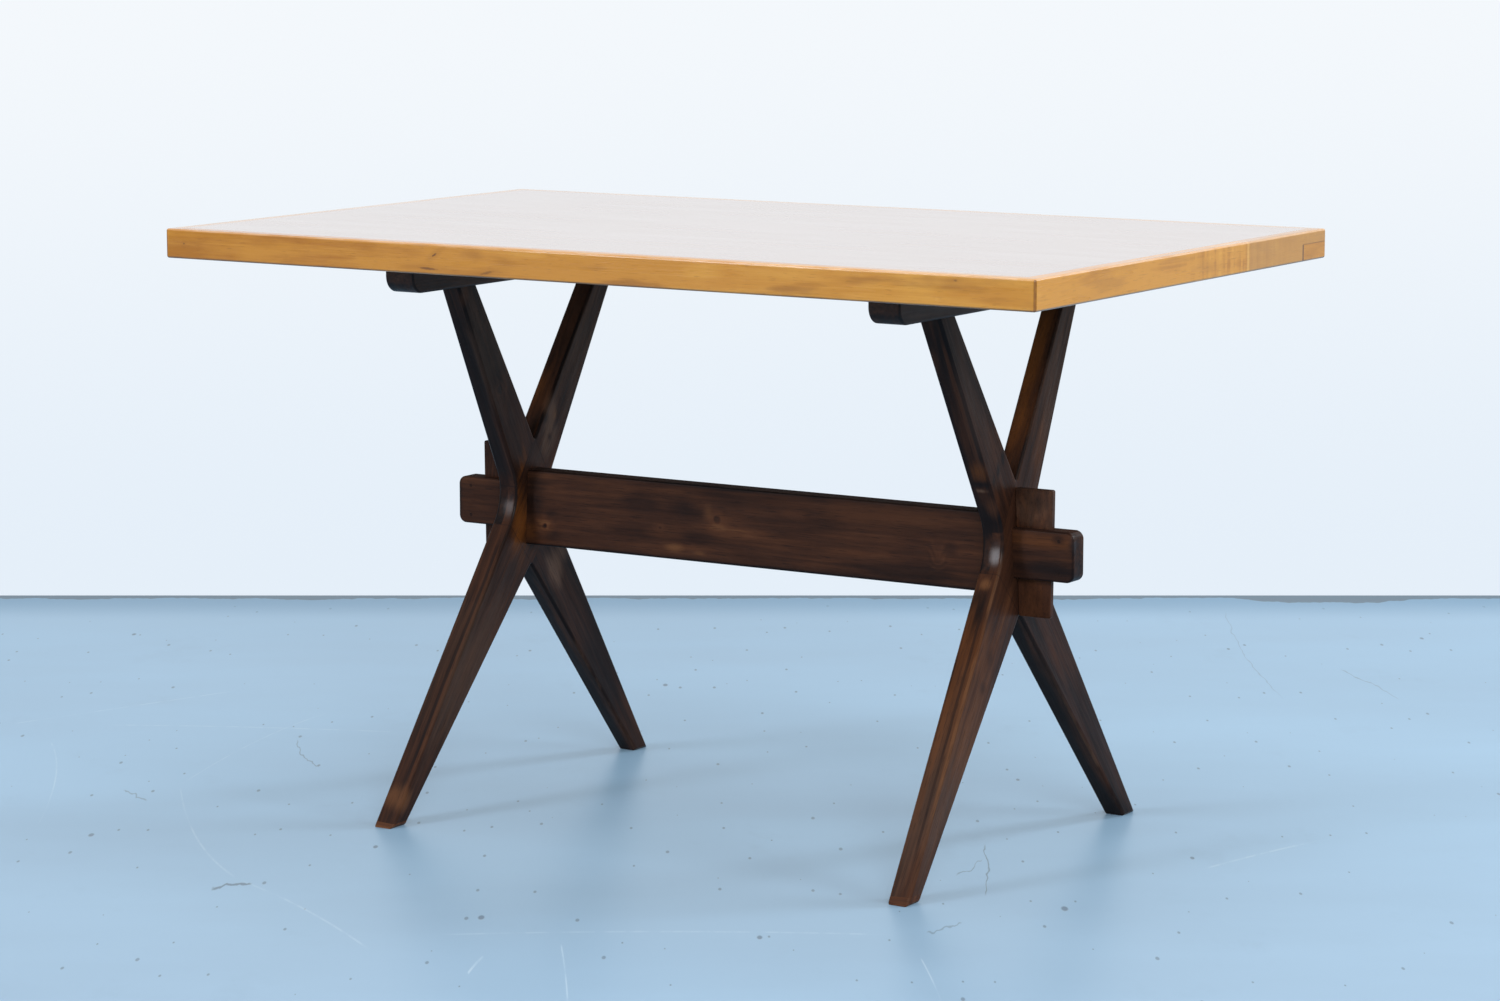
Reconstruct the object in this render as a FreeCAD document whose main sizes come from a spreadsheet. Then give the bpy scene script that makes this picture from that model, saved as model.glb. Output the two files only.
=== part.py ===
"""Sawbuck table: a veneered top on two X-shaped trestles, joined by a keyed stretcher.

Millimetres. +Z is up, +X runs along the top, and the origin is on the floor below the middle of the top.
"""

import FreeCAD, Part
import os

import Sketcher

# Every size that is set by itself: alias, value, what it measures.
DIMENSIONS = [
    ("top_length", 1200, "long side of the top"),
    ("top_width", 750, "short side of the top"),
    ("top_thickness", 36, "thickness of the top"),
    ("table_height", 735, "floor to the top's upper face"),
    ("lipping_width", 18, "width of the solid edge strips"),
    ("veneer_thickness", 1.2, "thickness of each face veneer"),
    ("top_corner_radius", 3.5, "rounding of the top's upright corners"),
    ("top_edge_radius", 3, "rounding of the top's long edges"),
    ("patch_length", 66, "length of the block let into the edge strip"),
    ("patch_height", 21, "height of that block"),
    ("patch_depth", 8, "depth of that block"),
    ("trestle_shift", 16.8, "how far the base stands right of the top's middle"),
    ("foot_spread", 365.6, "base centre to a trestle's middle plane, on the floor"),
    ("splay_angle", 2.41, "lean of each trestle, degrees"),
    ("leg_thickness", 28, "thickness of a trestle"),
    ("upper_notch_height", 454, "bottom of the gap between the upper arms"),
    ("lower_notch_height", 292, "top of the gap between the lower arms"),
    ("notch_radius", 1.5, "rounding of both gaps"),
    ("waist_half_width", 26.8, "corner where an upper and a lower arm's outer edges meet"),
    ("waist_height", 381.5, "height of that corner"),
    ("waist_radius", 62, "rounding of that corner"),
    ("arm_inner", 134.5, "inner edge of an upper arm, under the cleat"),
    ("arm_outer", 173, "outer edge of an upper arm, under the cleat"),
    ("foot_inner", 257, "inner edge of a sole"),
    ("foot_outer", 286.3, "outer edge of a sole"),
    ("leg_edge_radius", 4, "rounding of a trestle's long edges"),
    ("sole_bevel", 3, "bevel round the soles"),
    ("trim_allowance", 6, "spare length on the arms before they are trimmed level"),
    ("stub_height", 20, "leg's stub tenon in the cleat"),
    ("stub_thickness", 12, "thickness of that stub tenon"),
    ("stub_fit", 0.3, "clearance round that stub tenon"),
    ("right_tip_height", 9, "block glued under the right front foot"),
    ("left_tip_height", 6, "block glued under the left front foot"),
    ("cleat_height", 37.5, "height of a cleat"),
    ("cleat_thickness", 42, "thickness of a cleat"),
    ("cleat_length", 551, "length of a cleat"),
    ("cleat_end_radius", 20, "rounding of a cleat's lower end corners"),
    ("cleat_edge_radius", 3, "rounding of a cleat's other lower edges"),
    ("screw_spacing", 215, "distance between a cleat's screws"),
    ("screw_length", 42, "cleat screw, under the head"),
    ("screw_radius", 2.4, "cleat screw, shank"),
    ("screw_point", 6, "cleat screw, tapered point"),
    ("screw_head_radius", 4.6, "cleat screw, head"),
    ("screw_head_height", 3.2, "cleat screw, head"),
    ("screw_crown_radius", 3, "cleat screw, flat crown of the head"),
    ("counterbore_depth", 16, "depth of the screw's hole for its head"),
    ("counterbore_radius", 5.5, "radius of that hole"),
    ("screw_fit", 0.1, "clearance round a screw"),
    ("stretcher_thickness", 28, "thickness of the stretcher"),
    ("stretcher_bottom", 319, "lower edge of the stretcher"),
    ("stretcher_top", 415.5, "upper edge of the stretcher"),
    ("tenon_bottom", 339, "lower face of the through tenons"),
    ("tenon_top", 399.3, "upper face of the through tenons"),
    ("right_tenon_reach", 80.3, "right tenon's end beyond the trestle"),
    ("left_tenon_reach", 78.6, "left tenon's end beyond the trestle"),
    ("tenon_end_radius", 10, "rounding of a tenon's end, seen from the side"),
    ("stretcher_edge_radius", 3, "rounding of the stretcher's long edges"),
    ("tenon_fit", 0.2, "clearance round a tenon in its mortise"),
    ("pin_radius", 2.3, "tenon pins"),
    ("pin_inset", 19, "tenon pins, from the tenon's end"),
    ("pin_spacing", 38, "tenon pins, one above the other"),
    ("pin_fit", 0.05, "clearance round a tenon pin"),
    ("key_bottom", 292.5, "lower end of a key"),
    ("key_top", 446, "upper end of a key"),
    ("key_thickness", 8, "thickness of a key"),
    ("right_key_width", 50.1, "right key, at its upper end"),
    ("left_key_width", 48.5, "left key, at its upper end"),
    ("key_flare", 1.5, "how far a key's outer edge leans out at its upper end"),
    ("key_end_radius", 2.5, "rounding of a key's ends"),
    ("key_edge_radius", 1.2, "rounding of a key's long edges"),
    ("key_fit", 0.1, "clearance of a key along the stretcher"),
    ("key_side_fit", 0.3, "clearance of a key on each flat side"),
    ("key_relief", 4, "how far a key's slot runs in under the trestle's face"),
    ("cutter_margin", 20, "how far cutting shapes run past what they cut"),
]

doc = FreeCAD.newDocument("sawbuck_table")
sheet = doc.addObject("Spreadsheet::Sheet", "sizes")
for row, (alias, value, meaning) in enumerate(DIMENSIONS, 1):
    sheet.set(f"A{row}", meaning)
    sheet.set(f"B{row}", str(value))
    sheet.setAlias(f"B{row}", alias)
doc.recompute()

SIZE_NAMES = {alias for alias, _, _ in DIMENSIONS}


def size(text):
    """An expression in size names, such as 'top_length / 2', as one that a property can be bound to."""
    words = []
    word = ""
    for letter in text + " ":
        if letter.isalnum() or letter == "_":
            word += letter
            continue
        words.append("sizes." + word if word in SIZE_NAMES else word)
        words.append(letter)
        word = ""
    return "(" + "".join(words).strip() + ")"


def value_of(text):
    """The present value of an expression in size names."""
    return float(sheet.evalExpression(size(text)))


# ---------------------------------------------------------------- bodies, sketches and features


def new_body(label):
    body = doc.addObject("PartDesign::Body", label)
    body.Label = label
    return body


def new_sketch(body, role, offset="0", lean=None):
    """A sketch on one of the body's own origin planes, moved along its normal and tipped about its X."""
    sketch = body.newObject("Sketcher::SketchObject", body.Label + "_sketch")
    plane = next(feature for feature in body.Origin.OriginFeatures if feature.Role == role)
    sketch.AttachmentSupport = [(plane, "")]
    sketch.MapMode = "FlatFace"
    if lean:
        tip = FreeCAD.Rotation(FreeCAD.Vector(1, 0, 0), -1)
        sketch.AttachmentOffset = FreeCAD.Placement(FreeCAD.Vector(), tip)
        sketch.setExpression("AttachmentOffset.Rotation.Angle", size(lean))
    sketch.setExpression("AttachmentOffset.Base.z", size(offset))
    return sketch


def trestle_sketch(body):
    """A sketch in the right trestle's leaning middle plane: its X is the table's Y, its Y runs up the lean."""
    return new_sketch(body, "YZ_Plane", offset="foot_spread", lean="-splay_angle")


def up_the_lean(corners):
    """Corners at upright heights, for a sketch that leans with the trestle."""
    return [(y, f"({height}) / cos(splay_angle)") for y, height in corners]


def hold_point(sketch, geometry, position, x, y):
    """Bind one point of a sketch to a pair of expressions."""
    for kind, text in (("DistanceX", x), ("DistanceY", y)):
        number = sketch.addConstraint(Sketcher.Constraint(kind, -1, 1, geometry, position, value_of(text)))
        sketch.setExpression(f"Constraints[{number}]", size(text))


def draw_outline(sketch, corners):
    """A closed outline of straight edges through a list of (x, y) expressions."""
    first = sketch.GeometryCount
    count = len(corners)
    points = [FreeCAD.Vector(value_of(x), value_of(y), 0) for x, y in corners]
    for number, point in enumerate(points):
        sketch.addGeometry(Part.LineSegment(point, points[(number + 1) % count]), False)
    for number in range(count):
        following = (number + 1) % count
        sketch.addConstraint(Sketcher.Constraint("Coincident", first + number, 2, first + following, 1))
    for number, (x, y) in enumerate(corners):
        hold_point(sketch, first + number, 1, x, y)


def draw_circle(sketch, x, y, radius):
    centre = FreeCAD.Vector(value_of(x), value_of(y), 0)
    circle = sketch.addGeometry(Part.Circle(centre, FreeCAD.Vector(0, 0, 1), value_of(radius)), False)
    hold_point(sketch, circle, 3, x, y)
    number = sketch.addConstraint(Sketcher.Constraint("Radius", circle, value_of(radius)))
    sketch.setExpression(f"Constraints[{number}]", size(radius))


def add_pad(body, sketch, length, both_ways=False):
    pad = body.newObject("PartDesign::Pad", body.Label + "_pad")
    pad.Profile = sketch
    pad.SideType = "Symmetric" if both_ways else "One side"
    pad.setExpression("Length", size(length))
    doc.recompute()
    return pad


def add_pocket(body, sketch, length, both_ways=False, towards_normal=False):
    """Cut a sketch into the body. A pocket that removes nothing stops the build."""
    before = body.Shape.Volume
    pocket = body.newObject("PartDesign::Pocket", body.Label + "_pocket")
    pocket.Profile = sketch
    pocket.SideType = "Symmetric" if both_ways else "One side"
    pocket.Reversed = towards_normal
    pocket.setExpression("Length", size(length))
    doc.recompute()
    if body.Shape.Volume > before - 1e-3:
        raise RuntimeError(f"{pocket.Label} cuts nothing")
    return pocket


def add_fillet(body, radius, wanted):
    """Round each edge of the body's present shape for which wanted(edge) is true."""
    base = body.Tip
    names = [f"Edge{number}" for number, edge in enumerate(base.Shape.Edges, 1) if wanted(edge)]
    if not names:
        raise RuntimeError(f"{body.Label} has no such edge to round")
    fillet = body.newObject("PartDesign::Fillet", body.Label + "_fillet")
    fillet.Base = (base, names)
    fillet.setExpression("Radius", size(radius))
    doc.recompute()
    return fillet


# ---------------------------------------------------------------- picking edges by where they lie


def near(number, target, tolerance=0.01):
    return abs(number - target) < tolerance


def ends_of(edge):
    return [vertex.Point for vertex in edge.Vertexes]


def runs_along(edge, axis):
    """True for a straight edge along one of the frame's axes: 0, 1 or 2."""
    ends = ends_of(edge)
    if len(ends) != 2:
        return False
    across = [other for other in range(3) if other != axis]
    return all(near(ends[0][other], ends[1][other]) for other in across)


def all_at(edge, axis, place):
    return all(near(point[axis], place) for point in ends_of(edge))


# ---------------------------------------------------------------- places that several pieces share


def on_line(first, second, height):
    """Where the straight line through two (across, height) points is at a height, as an expression."""
    share = f"(({height}) - ({first[1]})) / (({second[1]}) - ({first[1]}))"
    return f"({first[0]}) + (({second[0]}) - ({first[0]})) * {share}"


CLEAT_BOTTOM = "table_height - top_thickness - cleat_height"
TOP_BOTTOM = "table_height - top_thickness"
TENON_MIDDLE = "(tenon_top + tenon_bottom) / 2"
CLEAT_PLACE = f"foot_spread - tan(splay_angle) * ({CLEAT_BOTTOM})"
SCREW_SEAT = f"{CLEAT_BOTTOM} + counterbore_depth"
SCREW_ROW = ("-screw_spacing", "0", "screw_spacing")


def trestle_face(height, outwards):
    """X of the right trestle's outer (+) or inner (-) face at a height, from the base's centre."""
    return f"foot_spread - tan(splay_angle) * ({height}) {outwards} leg_thickness / 2 / cos(splay_angle)"


UPPER_NOTCH = ("0", "upper_notch_height")
LOWER_NOTCH = ("0", "lower_notch_height")
WAIST = ("waist_half_width", "waist_height")
ARM_INNER = ("arm_inner", CLEAT_BOTTOM)
ARM_OUTER = ("arm_outer", CLEAT_BOTTOM)
SOLE_INNER = ("foot_inner", "0")
SOLE_OUTER = ("foot_outer", "0")
ARM_END = f"{CLEAT_BOTTOM} + stub_height + trim_allowance"
FOOT_END = "-trim_allowance"


# ---------------------------------------------------------------- trestles


def trestle_blank():
    """The right trestle as glued up and rounded over, before it is told apart into its legs."""
    body = new_body("trestle_blank")
    right_half = [
        (on_line(UPPER_NOTCH, ARM_INNER, ARM_END), ARM_END),
        (on_line(WAIST, ARM_OUTER, ARM_END), ARM_END),
        WAIST,
        (on_line(WAIST, SOLE_OUTER, FOOT_END), FOOT_END),
        (on_line(LOWER_NOTCH, SOLE_INNER, FOOT_END), FOOT_END),
    ]
    left_half = [(f"-({y})", height) for y, height in reversed(right_half)]
    outline = trestle_sketch(body)
    draw_outline(outline, up_the_lean([UPPER_NOTCH] + right_half + [LOWER_NOTCH] + left_half))
    add_pad(body, outline, "leg_thickness", both_ways=True)

    waist = value_of("waist_half_width")
    add_fillet(body, "waist_radius", lambda edge: all_at(edge, 1, waist) or all_at(edge, 1, -waist))
    add_fillet(body, "notch_radius", lambda edge: all_at(edge, 1, 0))
    add_fillet(body, "leg_edge_radius", lies_along_trestle)

    soles = new_sketch(body, "XZ_Plane")
    half = "leg_thickness / 2"
    beyond = f"{half} + sole_bevel + trim_allowance"
    draw_outline(soles, [
        (f"foot_spread - ({beyond})", "-cutter_margin"),
        (f"foot_spread + ({beyond})", "-cutter_margin"),
        (f"foot_spread + ({beyond})", "sole_bevel * 2 + trim_allowance"),
        (f"foot_spread + {half} - sole_bevel", "0"),
        (f"foot_spread - {half} + sole_bevel", "0"),
        (f"foot_spread - ({beyond})", "sole_bevel * 2 + trim_allowance"),
    ])
    add_pocket(body, soles, "foot_outer * 2 + cutter_margin * 2", both_ways=True)

    stubs = new_sketch(body, "XZ_Plane")
    stub_top = f"{CLEAT_BOTTOM} + stub_height"
    wide = f"{half} + trim_allowance"
    draw_outline(stubs, [
        (f"{CLEAT_PLACE} - ({wide})", CLEAT_BOTTOM),
        (f"{CLEAT_PLACE} - stub_thickness / 2", CLEAT_BOTTOM),
        (f"{CLEAT_PLACE} - stub_thickness / 2", stub_top),
        (f"{CLEAT_PLACE} + stub_thickness / 2", stub_top),
        (f"{CLEAT_PLACE} + stub_thickness / 2", CLEAT_BOTTOM),
        (f"{CLEAT_PLACE} + {wide}", CLEAT_BOTTOM),
        (f"{CLEAT_PLACE} + {wide}", f"{stub_top} + cutter_margin"),
        (f"{CLEAT_PLACE} - ({wide})", f"{stub_top} + cutter_margin"),
    ])
    add_pocket(body, stubs, "arm_outer * 2 + cutter_margin * 4", both_ways=True)

    mortise = new_sketch(body, "XZ_Plane")
    low = "tenon_bottom - tenon_fit"
    high = "tenon_top + tenon_fit"
    near_side = f"{trestle_face(TENON_MIDDLE, '-')} - cutter_margin"
    far_side = f"{trestle_face(TENON_MIDDLE, '+')} + cutter_margin"
    draw_outline(mortise, [(near_side, low), (far_side, low), (far_side, high), (near_side, high)])
    add_pocket(body, mortise, "stretcher_thickness + tenon_fit * 2", both_ways=True)
    side = value_of("stretcher_thickness / 2 + tenon_fit")
    heights = (value_of(low), value_of(high))

    def is_mortise_corner(edge):
        at_side = all_at(edge, 1, side) or all_at(edge, 1, -side)
        return runs_along(edge, 0) and at_side and any(all_at(edge, 2, height) for height in heights)

    add_fillet(body, "stretcher_edge_radius + tenon_fit", is_mortise_corner)
    return body


def lies_along_trestle(edge):
    """True for the trestle's long edges: those in either of its two faces, but not across an arm's end."""
    lean = FreeCAD.Rotation(FreeCAD.Vector(0, 1, 0), value_of("-splay_angle"))
    middle = FreeCAD.Vector(value_of("foot_spread"), 0, 0)
    ends = [lean.inverted().multVec(point - middle) for point in ends_of(edge)]
    half = value_of("leg_thickness / 2")
    in_a_face = all(near(abs(point.x), half) for point in ends) and near(ends[0].x, ends[1].x)
    end_heights = [value_of(f"({height}) / cos(splay_angle)") for height in (ARM_END, FOOT_END)]
    across_an_end = any(all(near(point.z, height) for point in ends) for height in end_heights)
    return in_a_face and not across_an_end


def lap_corner():
    """The outer corner of the half-lap, where one leg's upper edge meets the other leg's lower edge."""
    upper_slope = f"(arm_inner / ({CLEAT_BOTTOM} - upper_notch_height))"
    lower_slope = "(foot_inner / lower_notch_height)"
    weighted = f"{upper_slope} * upper_notch_height + {lower_slope} * lower_notch_height"
    height = f"({weighted}) / ({upper_slope} + {lower_slope})"
    return f"{upper_slope} * (upper_notch_height - {height})", height


def leg_region(label, foot_side, bottom):
    """The space that one leg takes up in the trestle: one arm up, one arm down, and half of the crossing.

    foot_side is 1 for the leg whose foot is at +Y and -1 for the other. bottom is where the leg ends below.
    """
    body = new_body(label)
    corner_y, corner_height = lap_corner()
    beyond = "foot_outer + cutter_margin"
    above = f"{ARM_END} + cutter_margin"
    corners = [
        UPPER_NOTCH,
        (corner_y, corner_height),
        (beyond, corner_height),
        (beyond, bottom),
        ("0", bottom),
        LOWER_NOTCH,
        (f"-({corner_y})", corner_height),
        (f"-({beyond})", corner_height),
        (f"-({beyond})", above),
        ("0", above),
    ]
    if foot_side < 0:
        corners = [(f"-({y})", height) for y, height in corners]
    region = trestle_sketch(body)
    draw_outline(region, up_the_lean(corners))
    add_pad(body, region, "leg_thickness + cutter_margin", both_ways=True)

    lap = trestle_sketch(body)
    crossing = [UPPER_NOTCH, (corner_y, corner_height), LOWER_NOTCH, (f"-({corner_y})", corner_height)]
    draw_outline(lap, up_the_lean(crossing))
    add_pocket(body, lap, "leg_thickness + cutter_margin", towards_normal=foot_side > 0)
    return body


def tip_region(label, foot_side, height):
    """The space of the block glued under one foot."""
    body = new_body(label)
    side = "" if foot_side > 0 else "-"
    beyond = f"{side}(foot_outer + cutter_margin)"
    region = trestle_sketch(body)
    corners = [("0", "-cutter_margin"), (beyond, "-cutter_margin"), (beyond, height), ("0", height)]
    draw_outline(region, up_the_lean(corners))
    add_pad(body, region, "leg_thickness + cutter_margin", both_ways=True)
    return body


def place_on_base(piece, side):
    """Put a piece that was drawn for the right end at its own end: for the left it is turned round."""
    turn = FreeCAD.Rotation(FreeCAD.Vector(0, 0, 1), 180 if side < 0 else 0)
    piece.Placement = FreeCAD.Placement(FreeCAD.Vector(), turn)
    piece.setExpression("Placement.Base.x", size("trestle_shift"))


def part_of(blank, region, label):
    """The part of a blank that lies in a region, as a sub-part of its own."""
    piece = doc.addObject("Part::Common", label)
    piece.Label = label
    piece.Base = blank
    piece.Tool = region
    return piece


def make_legs():
    """Four legs, named by their foot. Turned round, a leg with its foot at +Y is the left front leg."""
    blank = trestle_blank()
    pieces = []
    for label, side, foot_side, tip in (
        ("leg_right_back", 1, 1, None),
        ("leg_right_front", 1, -1, "right_tip_height"),
        ("leg_left_front", -1, 1, "left_tip_height"),
        ("leg_left_back", -1, -1, None),
    ):
        region = leg_region(label + "_region", foot_side, tip or "-cutter_margin")
        leg = part_of(blank, region, label)
        place_on_base(leg, side)
        pieces.append(leg)
        if tip:
            tip_label = label.replace("leg", "foot_tip")
            foot_tip = part_of(blank, tip_region(tip_label + "_region", foot_side, tip), tip_label)
            place_on_base(foot_tip, side)
            pieces.append(foot_tip)
    return pieces


# ---------------------------------------------------------------- cleats and their screws


def make_cleat(label, side):
    body = new_body(label)
    rail = new_sketch(body, "YZ_Plane", offset=CLEAT_PLACE)
    half = "cleat_length / 2"
    draw_outline(rail, [
        (f"-{half}", CLEAT_BOTTOM), (half, CLEAT_BOTTOM), (half, TOP_BOTTOM), (f"-{half}", TOP_BOTTOM),
    ])
    add_pad(body, rail, "cleat_thickness", both_ways=True)
    bottom = value_of(CLEAT_BOTTOM)
    top = value_of(TOP_BOTTOM)
    add_fillet(body, "cleat_end_radius", lambda edge: runs_along(edge, 0) and all_at(edge, 2, bottom))
    add_fillet(body, "cleat_edge_radius", lambda edge: not runs_along(edge, 0) and not all_at(edge, 2, top))

    mortise_top = f"{CLEAT_BOTTOM} + stub_height + stub_fit"
    mortise_foot = f"{CLEAT_BOTTOM} - cutter_margin"
    for sign in ("", "-"):
        mortise = new_sketch(body, "YZ_Plane", offset=CLEAT_PLACE)
        corners = []
        for line, fit, heights in (
            ((UPPER_NOTCH, ARM_INNER), "- stub_fit", (mortise_foot, mortise_top)),
            ((WAIST, ARM_OUTER), "+ stub_fit", (mortise_top, mortise_foot)),
        ):
            corners += [(f"{sign}({on_line(*line, height)} {fit})", height) for height in heights]
        draw_outline(mortise, corners)
        add_pocket(body, mortise, "stub_thickness + stub_fit * 2", both_ways=True)

    shanks = new_sketch(body, "XY_Plane", offset=TOP_BOTTOM)
    counterbores = new_sketch(body, "XY_Plane", offset=CLEAT_BOTTOM)
    for place in SCREW_ROW:
        draw_circle(shanks, CLEAT_PLACE, place, "screw_radius + screw_fit")
        draw_circle(counterbores, CLEAT_PLACE, place, "counterbore_radius")
    add_pocket(body, shanks, "cleat_height")
    add_pocket(body, counterbores, "counterbore_depth", towards_normal=True)
    place_on_base(body, side)
    return body


def make_screws(label, side):
    """Three round-headed screws, standing point upwards in their counterbores."""
    body = new_body(label)
    profile = new_sketch(body, "XZ_Plane")
    draw_outline(profile, [
        ("0", "-screw_head_height"), ("screw_crown_radius", "-screw_head_height"),
        ("screw_head_radius", "-screw_head_height / 2"), ("screw_head_radius", "0"),
        ("screw_radius", "0"), ("screw_radius", "screw_length - screw_point"), ("0", "screw_length"),
    ])
    screw = body.newObject("PartDesign::Revolution", label + "_screw")
    screw.Profile = profile
    screw.ReferenceAxis = (profile, ["V_Axis"])
    screw.Angle = 360
    row = body.newObject("PartDesign::LinearPattern", label + "_row")
    row.Originals = [screw]
    row.Direction = (profile, ["N_Axis"])
    row.setExpression("Length", size("screw_spacing * 2"))
    row.Occurrences = 3
    body.Tip = row
    sign = "" if side > 0 else "-"
    body.setExpression("Placement.Base.x", size(f"trestle_shift + {sign}({CLEAT_PLACE})"))
    body.setExpression("Placement.Base.y", size("screw_spacing"))
    body.setExpression("Placement.Base.z", size(SCREW_SEAT))
    doc.recompute()
    return body


# ---------------------------------------------------------------- stretcher, tenon pins and keys


def tenon_end(side):
    """X of a tenon's end, measured outwards from the base's centre."""
    reach = "right_tenon_reach" if side > 0 else "left_tenon_reach"
    return f"{trestle_face(TENON_MIDDLE, '+')} + {reach}"


def key_outer(side, height):
    """X of a key's outer edge at a height, measured outwards from the base's centre."""
    width = "right_key_width" if side > 0 else "left_key_width"
    upper = f"{trestle_face('key_top', '+')} + {width}"
    return on_line((f"{upper} - key_flare", "key_bottom"), (upper, "key_top"), height)


def mirrored(corners, side):
    """Corners drawn for the right end, or the same at the left end."""
    return corners if side > 0 else [(f"-({x})", y) for x, y in reversed(corners)]


def make_stretcher():
    body = new_body("stretcher")
    rail = new_sketch(body, "XZ_Plane")
    right_end = [
        (trestle_face("stretcher_bottom", "-"), "stretcher_bottom"),
        (trestle_face("tenon_bottom", "-"), "tenon_bottom"),
        (tenon_end(1), "tenon_bottom"),
        (tenon_end(1), "tenon_top"),
        (trestle_face("tenon_top", "-"), "tenon_top"),
        (trestle_face("stretcher_top", "-"), "stretcher_top"),
    ]
    left_end = [(tenon_end(-1) if x == tenon_end(1) else x, height) for x, height in right_end]
    draw_outline(rail, right_end + mirrored(left_end, -1))
    add_pad(body, rail, "stretcher_thickness", both_ways=True)

    ends = (value_of(tenon_end(1)), -value_of(tenon_end(-1)))
    half = value_of("stretcher_thickness / 2")
    levels = [value_of(name) for name in ("stretcher_bottom", "stretcher_top", "tenon_bottom", "tenon_top")]

    def is_at_an_end(edge):
        return any(all_at(edge, 0, end) for end in ends)

    def is_long_edge(edge):
        on_a_side = all_at(edge, 1, half) or all_at(edge, 1, -half)
        return on_a_side and (is_at_an_end(edge) or any(all_at(edge, 2, height) for height in levels))

    add_fillet(body, "tenon_end_radius", lambda edge: runs_along(edge, 1) and is_at_an_end(edge))

    add_fillet(body, "stretcher_edge_radius", is_long_edge)

    for side in (1, -1):
        slot = new_sketch(body, "XZ_Plane")
        low = "tenon_bottom - cutter_margin"
        high = "tenon_top + cutter_margin"
        inner = f"{trestle_face('tenon_top', '+')} - key_relief"
        draw_outline(slot, mirrored([
            (inner, low),
            (f"{key_outer(side, low)} + key_fit", low),
            (f"{key_outer(side, high)} + key_fit", high),
            (inner, high),
        ], side))
        add_pocket(body, slot, "key_thickness + key_side_fit * 2", both_ways=True)
        holes = new_sketch(body, "XZ_Plane")
        for across, height in pin_places(side):
            draw_circle(holes, across, height, "pin_radius + pin_fit")
        add_pocket(body, holes, "stretcher_thickness + cutter_margin", both_ways=True)
    place_on_base(body, 1)
    return body


def pin_places(side):
    across = f"{tenon_end(side)} - pin_inset"
    if side < 0:
        across = f"-({across})"
    return [(across, f"{TENON_MIDDLE} + pin_spacing / 2"), (across, f"{TENON_MIDDLE} - pin_spacing / 2")]


def make_pins(label, side):
    """Two pins across the end of a tenon, flush with its sides."""
    body = new_body(label)
    circles = new_sketch(body, "XZ_Plane")
    for across, height in pin_places(side):
        draw_circle(circles, across, height, "pin_radius")
    add_pad(body, circles, "stretcher_thickness", both_ways=True)
    place_on_base(body, 1)
    return body


def make_key(label, side):
    """A loose wedge: its inner edge bears on the leaning trestle, its outer edge on the end of its slot."""
    body = new_body(label)
    wedge = new_sketch(body, "XZ_Plane")
    draw_outline(wedge, mirrored([
        (f"{trestle_face('key_bottom', '+')} + key_fit", "key_bottom"),
        (key_outer(side, "key_bottom"), "key_bottom"),
        (key_outer(side, "key_top"), "key_top"),
        (f"{trestle_face('key_top', '+')} + key_fit", "key_top"),
    ], side))
    add_pad(body, wedge, "key_thickness", both_ways=True)
    add_fillet(body, "key_end_radius", lambda edge: runs_along(edge, 1))
    half = value_of("key_thickness / 2")
    add_fillet(body, "key_edge_radius", lambda edge: all_at(edge, 1, half) or all_at(edge, 1, -half))
    place_on_base(body, 1)
    return body


# ---------------------------------------------------------------- top

HALF_LENGTH = "top_length / 2"
HALF_WIDTH = "top_width / 2"


def draw_rectangle(sketch, left, right, low, high):
    draw_outline(sketch, [(left, low), (right, low), (right, high), (left, high)])


def top_blank():
    """The whole top with its edges and corners rounded, before it is told apart into its strips."""
    body = new_body("top_blank")
    outline = new_sketch(body, "XY_Plane", offset=TOP_BOTTOM)
    draw_rectangle(outline, f"-{HALF_LENGTH}", HALF_LENGTH, f"-{HALF_WIDTH}", HALF_WIDTH)
    add_pad(body, outline, "top_thickness")
    add_fillet(body, "top_corner_radius", lambda edge: runs_along(edge, 2))
    add_fillet(body, "top_edge_radius", lambda edge: not runs_along(edge, 2))
    return body


def patch_region(label):
    """The space of the small block at the lower back corner of the right-hand edge."""
    body = new_body(label)
    block = new_sketch(body, "XY_Plane", offset=f"{TOP_BOTTOM} - cutter_margin")
    draw_rectangle(
        block, f"{HALF_LENGTH} - patch_depth", f"{HALF_LENGTH} + cutter_margin",
        f"{HALF_WIDTH} - patch_length", f"{HALF_WIDTH} + cutter_margin",
    )
    add_pad(body, block, "patch_height + cutter_margin")
    return body


def lipping_region(label, along_x, sign, has_patch):
    """The space of one edge strip, mitred at both ends."""
    body = new_body(label)
    run, across = (HALF_LENGTH, HALF_WIDTH) if along_x else (HALF_WIDTH, HALF_LENGTH)
    corners = [
        (f"-({run} + cutter_margin)", f"{sign}({across} + cutter_margin)"),
        (f"{run} + cutter_margin", f"{sign}({across} + cutter_margin)"),
        (f"{run} - lipping_width", f"{sign}({across} - lipping_width)"),
        (f"-({run} - lipping_width)", f"{sign}({across} - lipping_width)"),
    ]
    if not along_x:
        corners = [(y, x) for x, y in corners]
    strip = new_sketch(body, "XY_Plane", offset=f"{TOP_BOTTOM} - cutter_margin")
    draw_outline(strip, corners)
    add_pad(body, strip, "top_thickness + cutter_margin * 2")
    if has_patch:
        notch = new_sketch(body, "XY_Plane", offset=f"{TOP_BOTTOM} - cutter_margin")
        draw_rectangle(
            notch, f"{HALF_LENGTH} - patch_depth", f"{HALF_LENGTH} + cutter_margin * 2",
            f"{HALF_WIDTH} - patch_length", f"{HALF_WIDTH} + cutter_margin * 2",
        )
        add_pocket(body, notch, "patch_height + cutter_margin", towards_normal=True)
    return body


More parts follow.
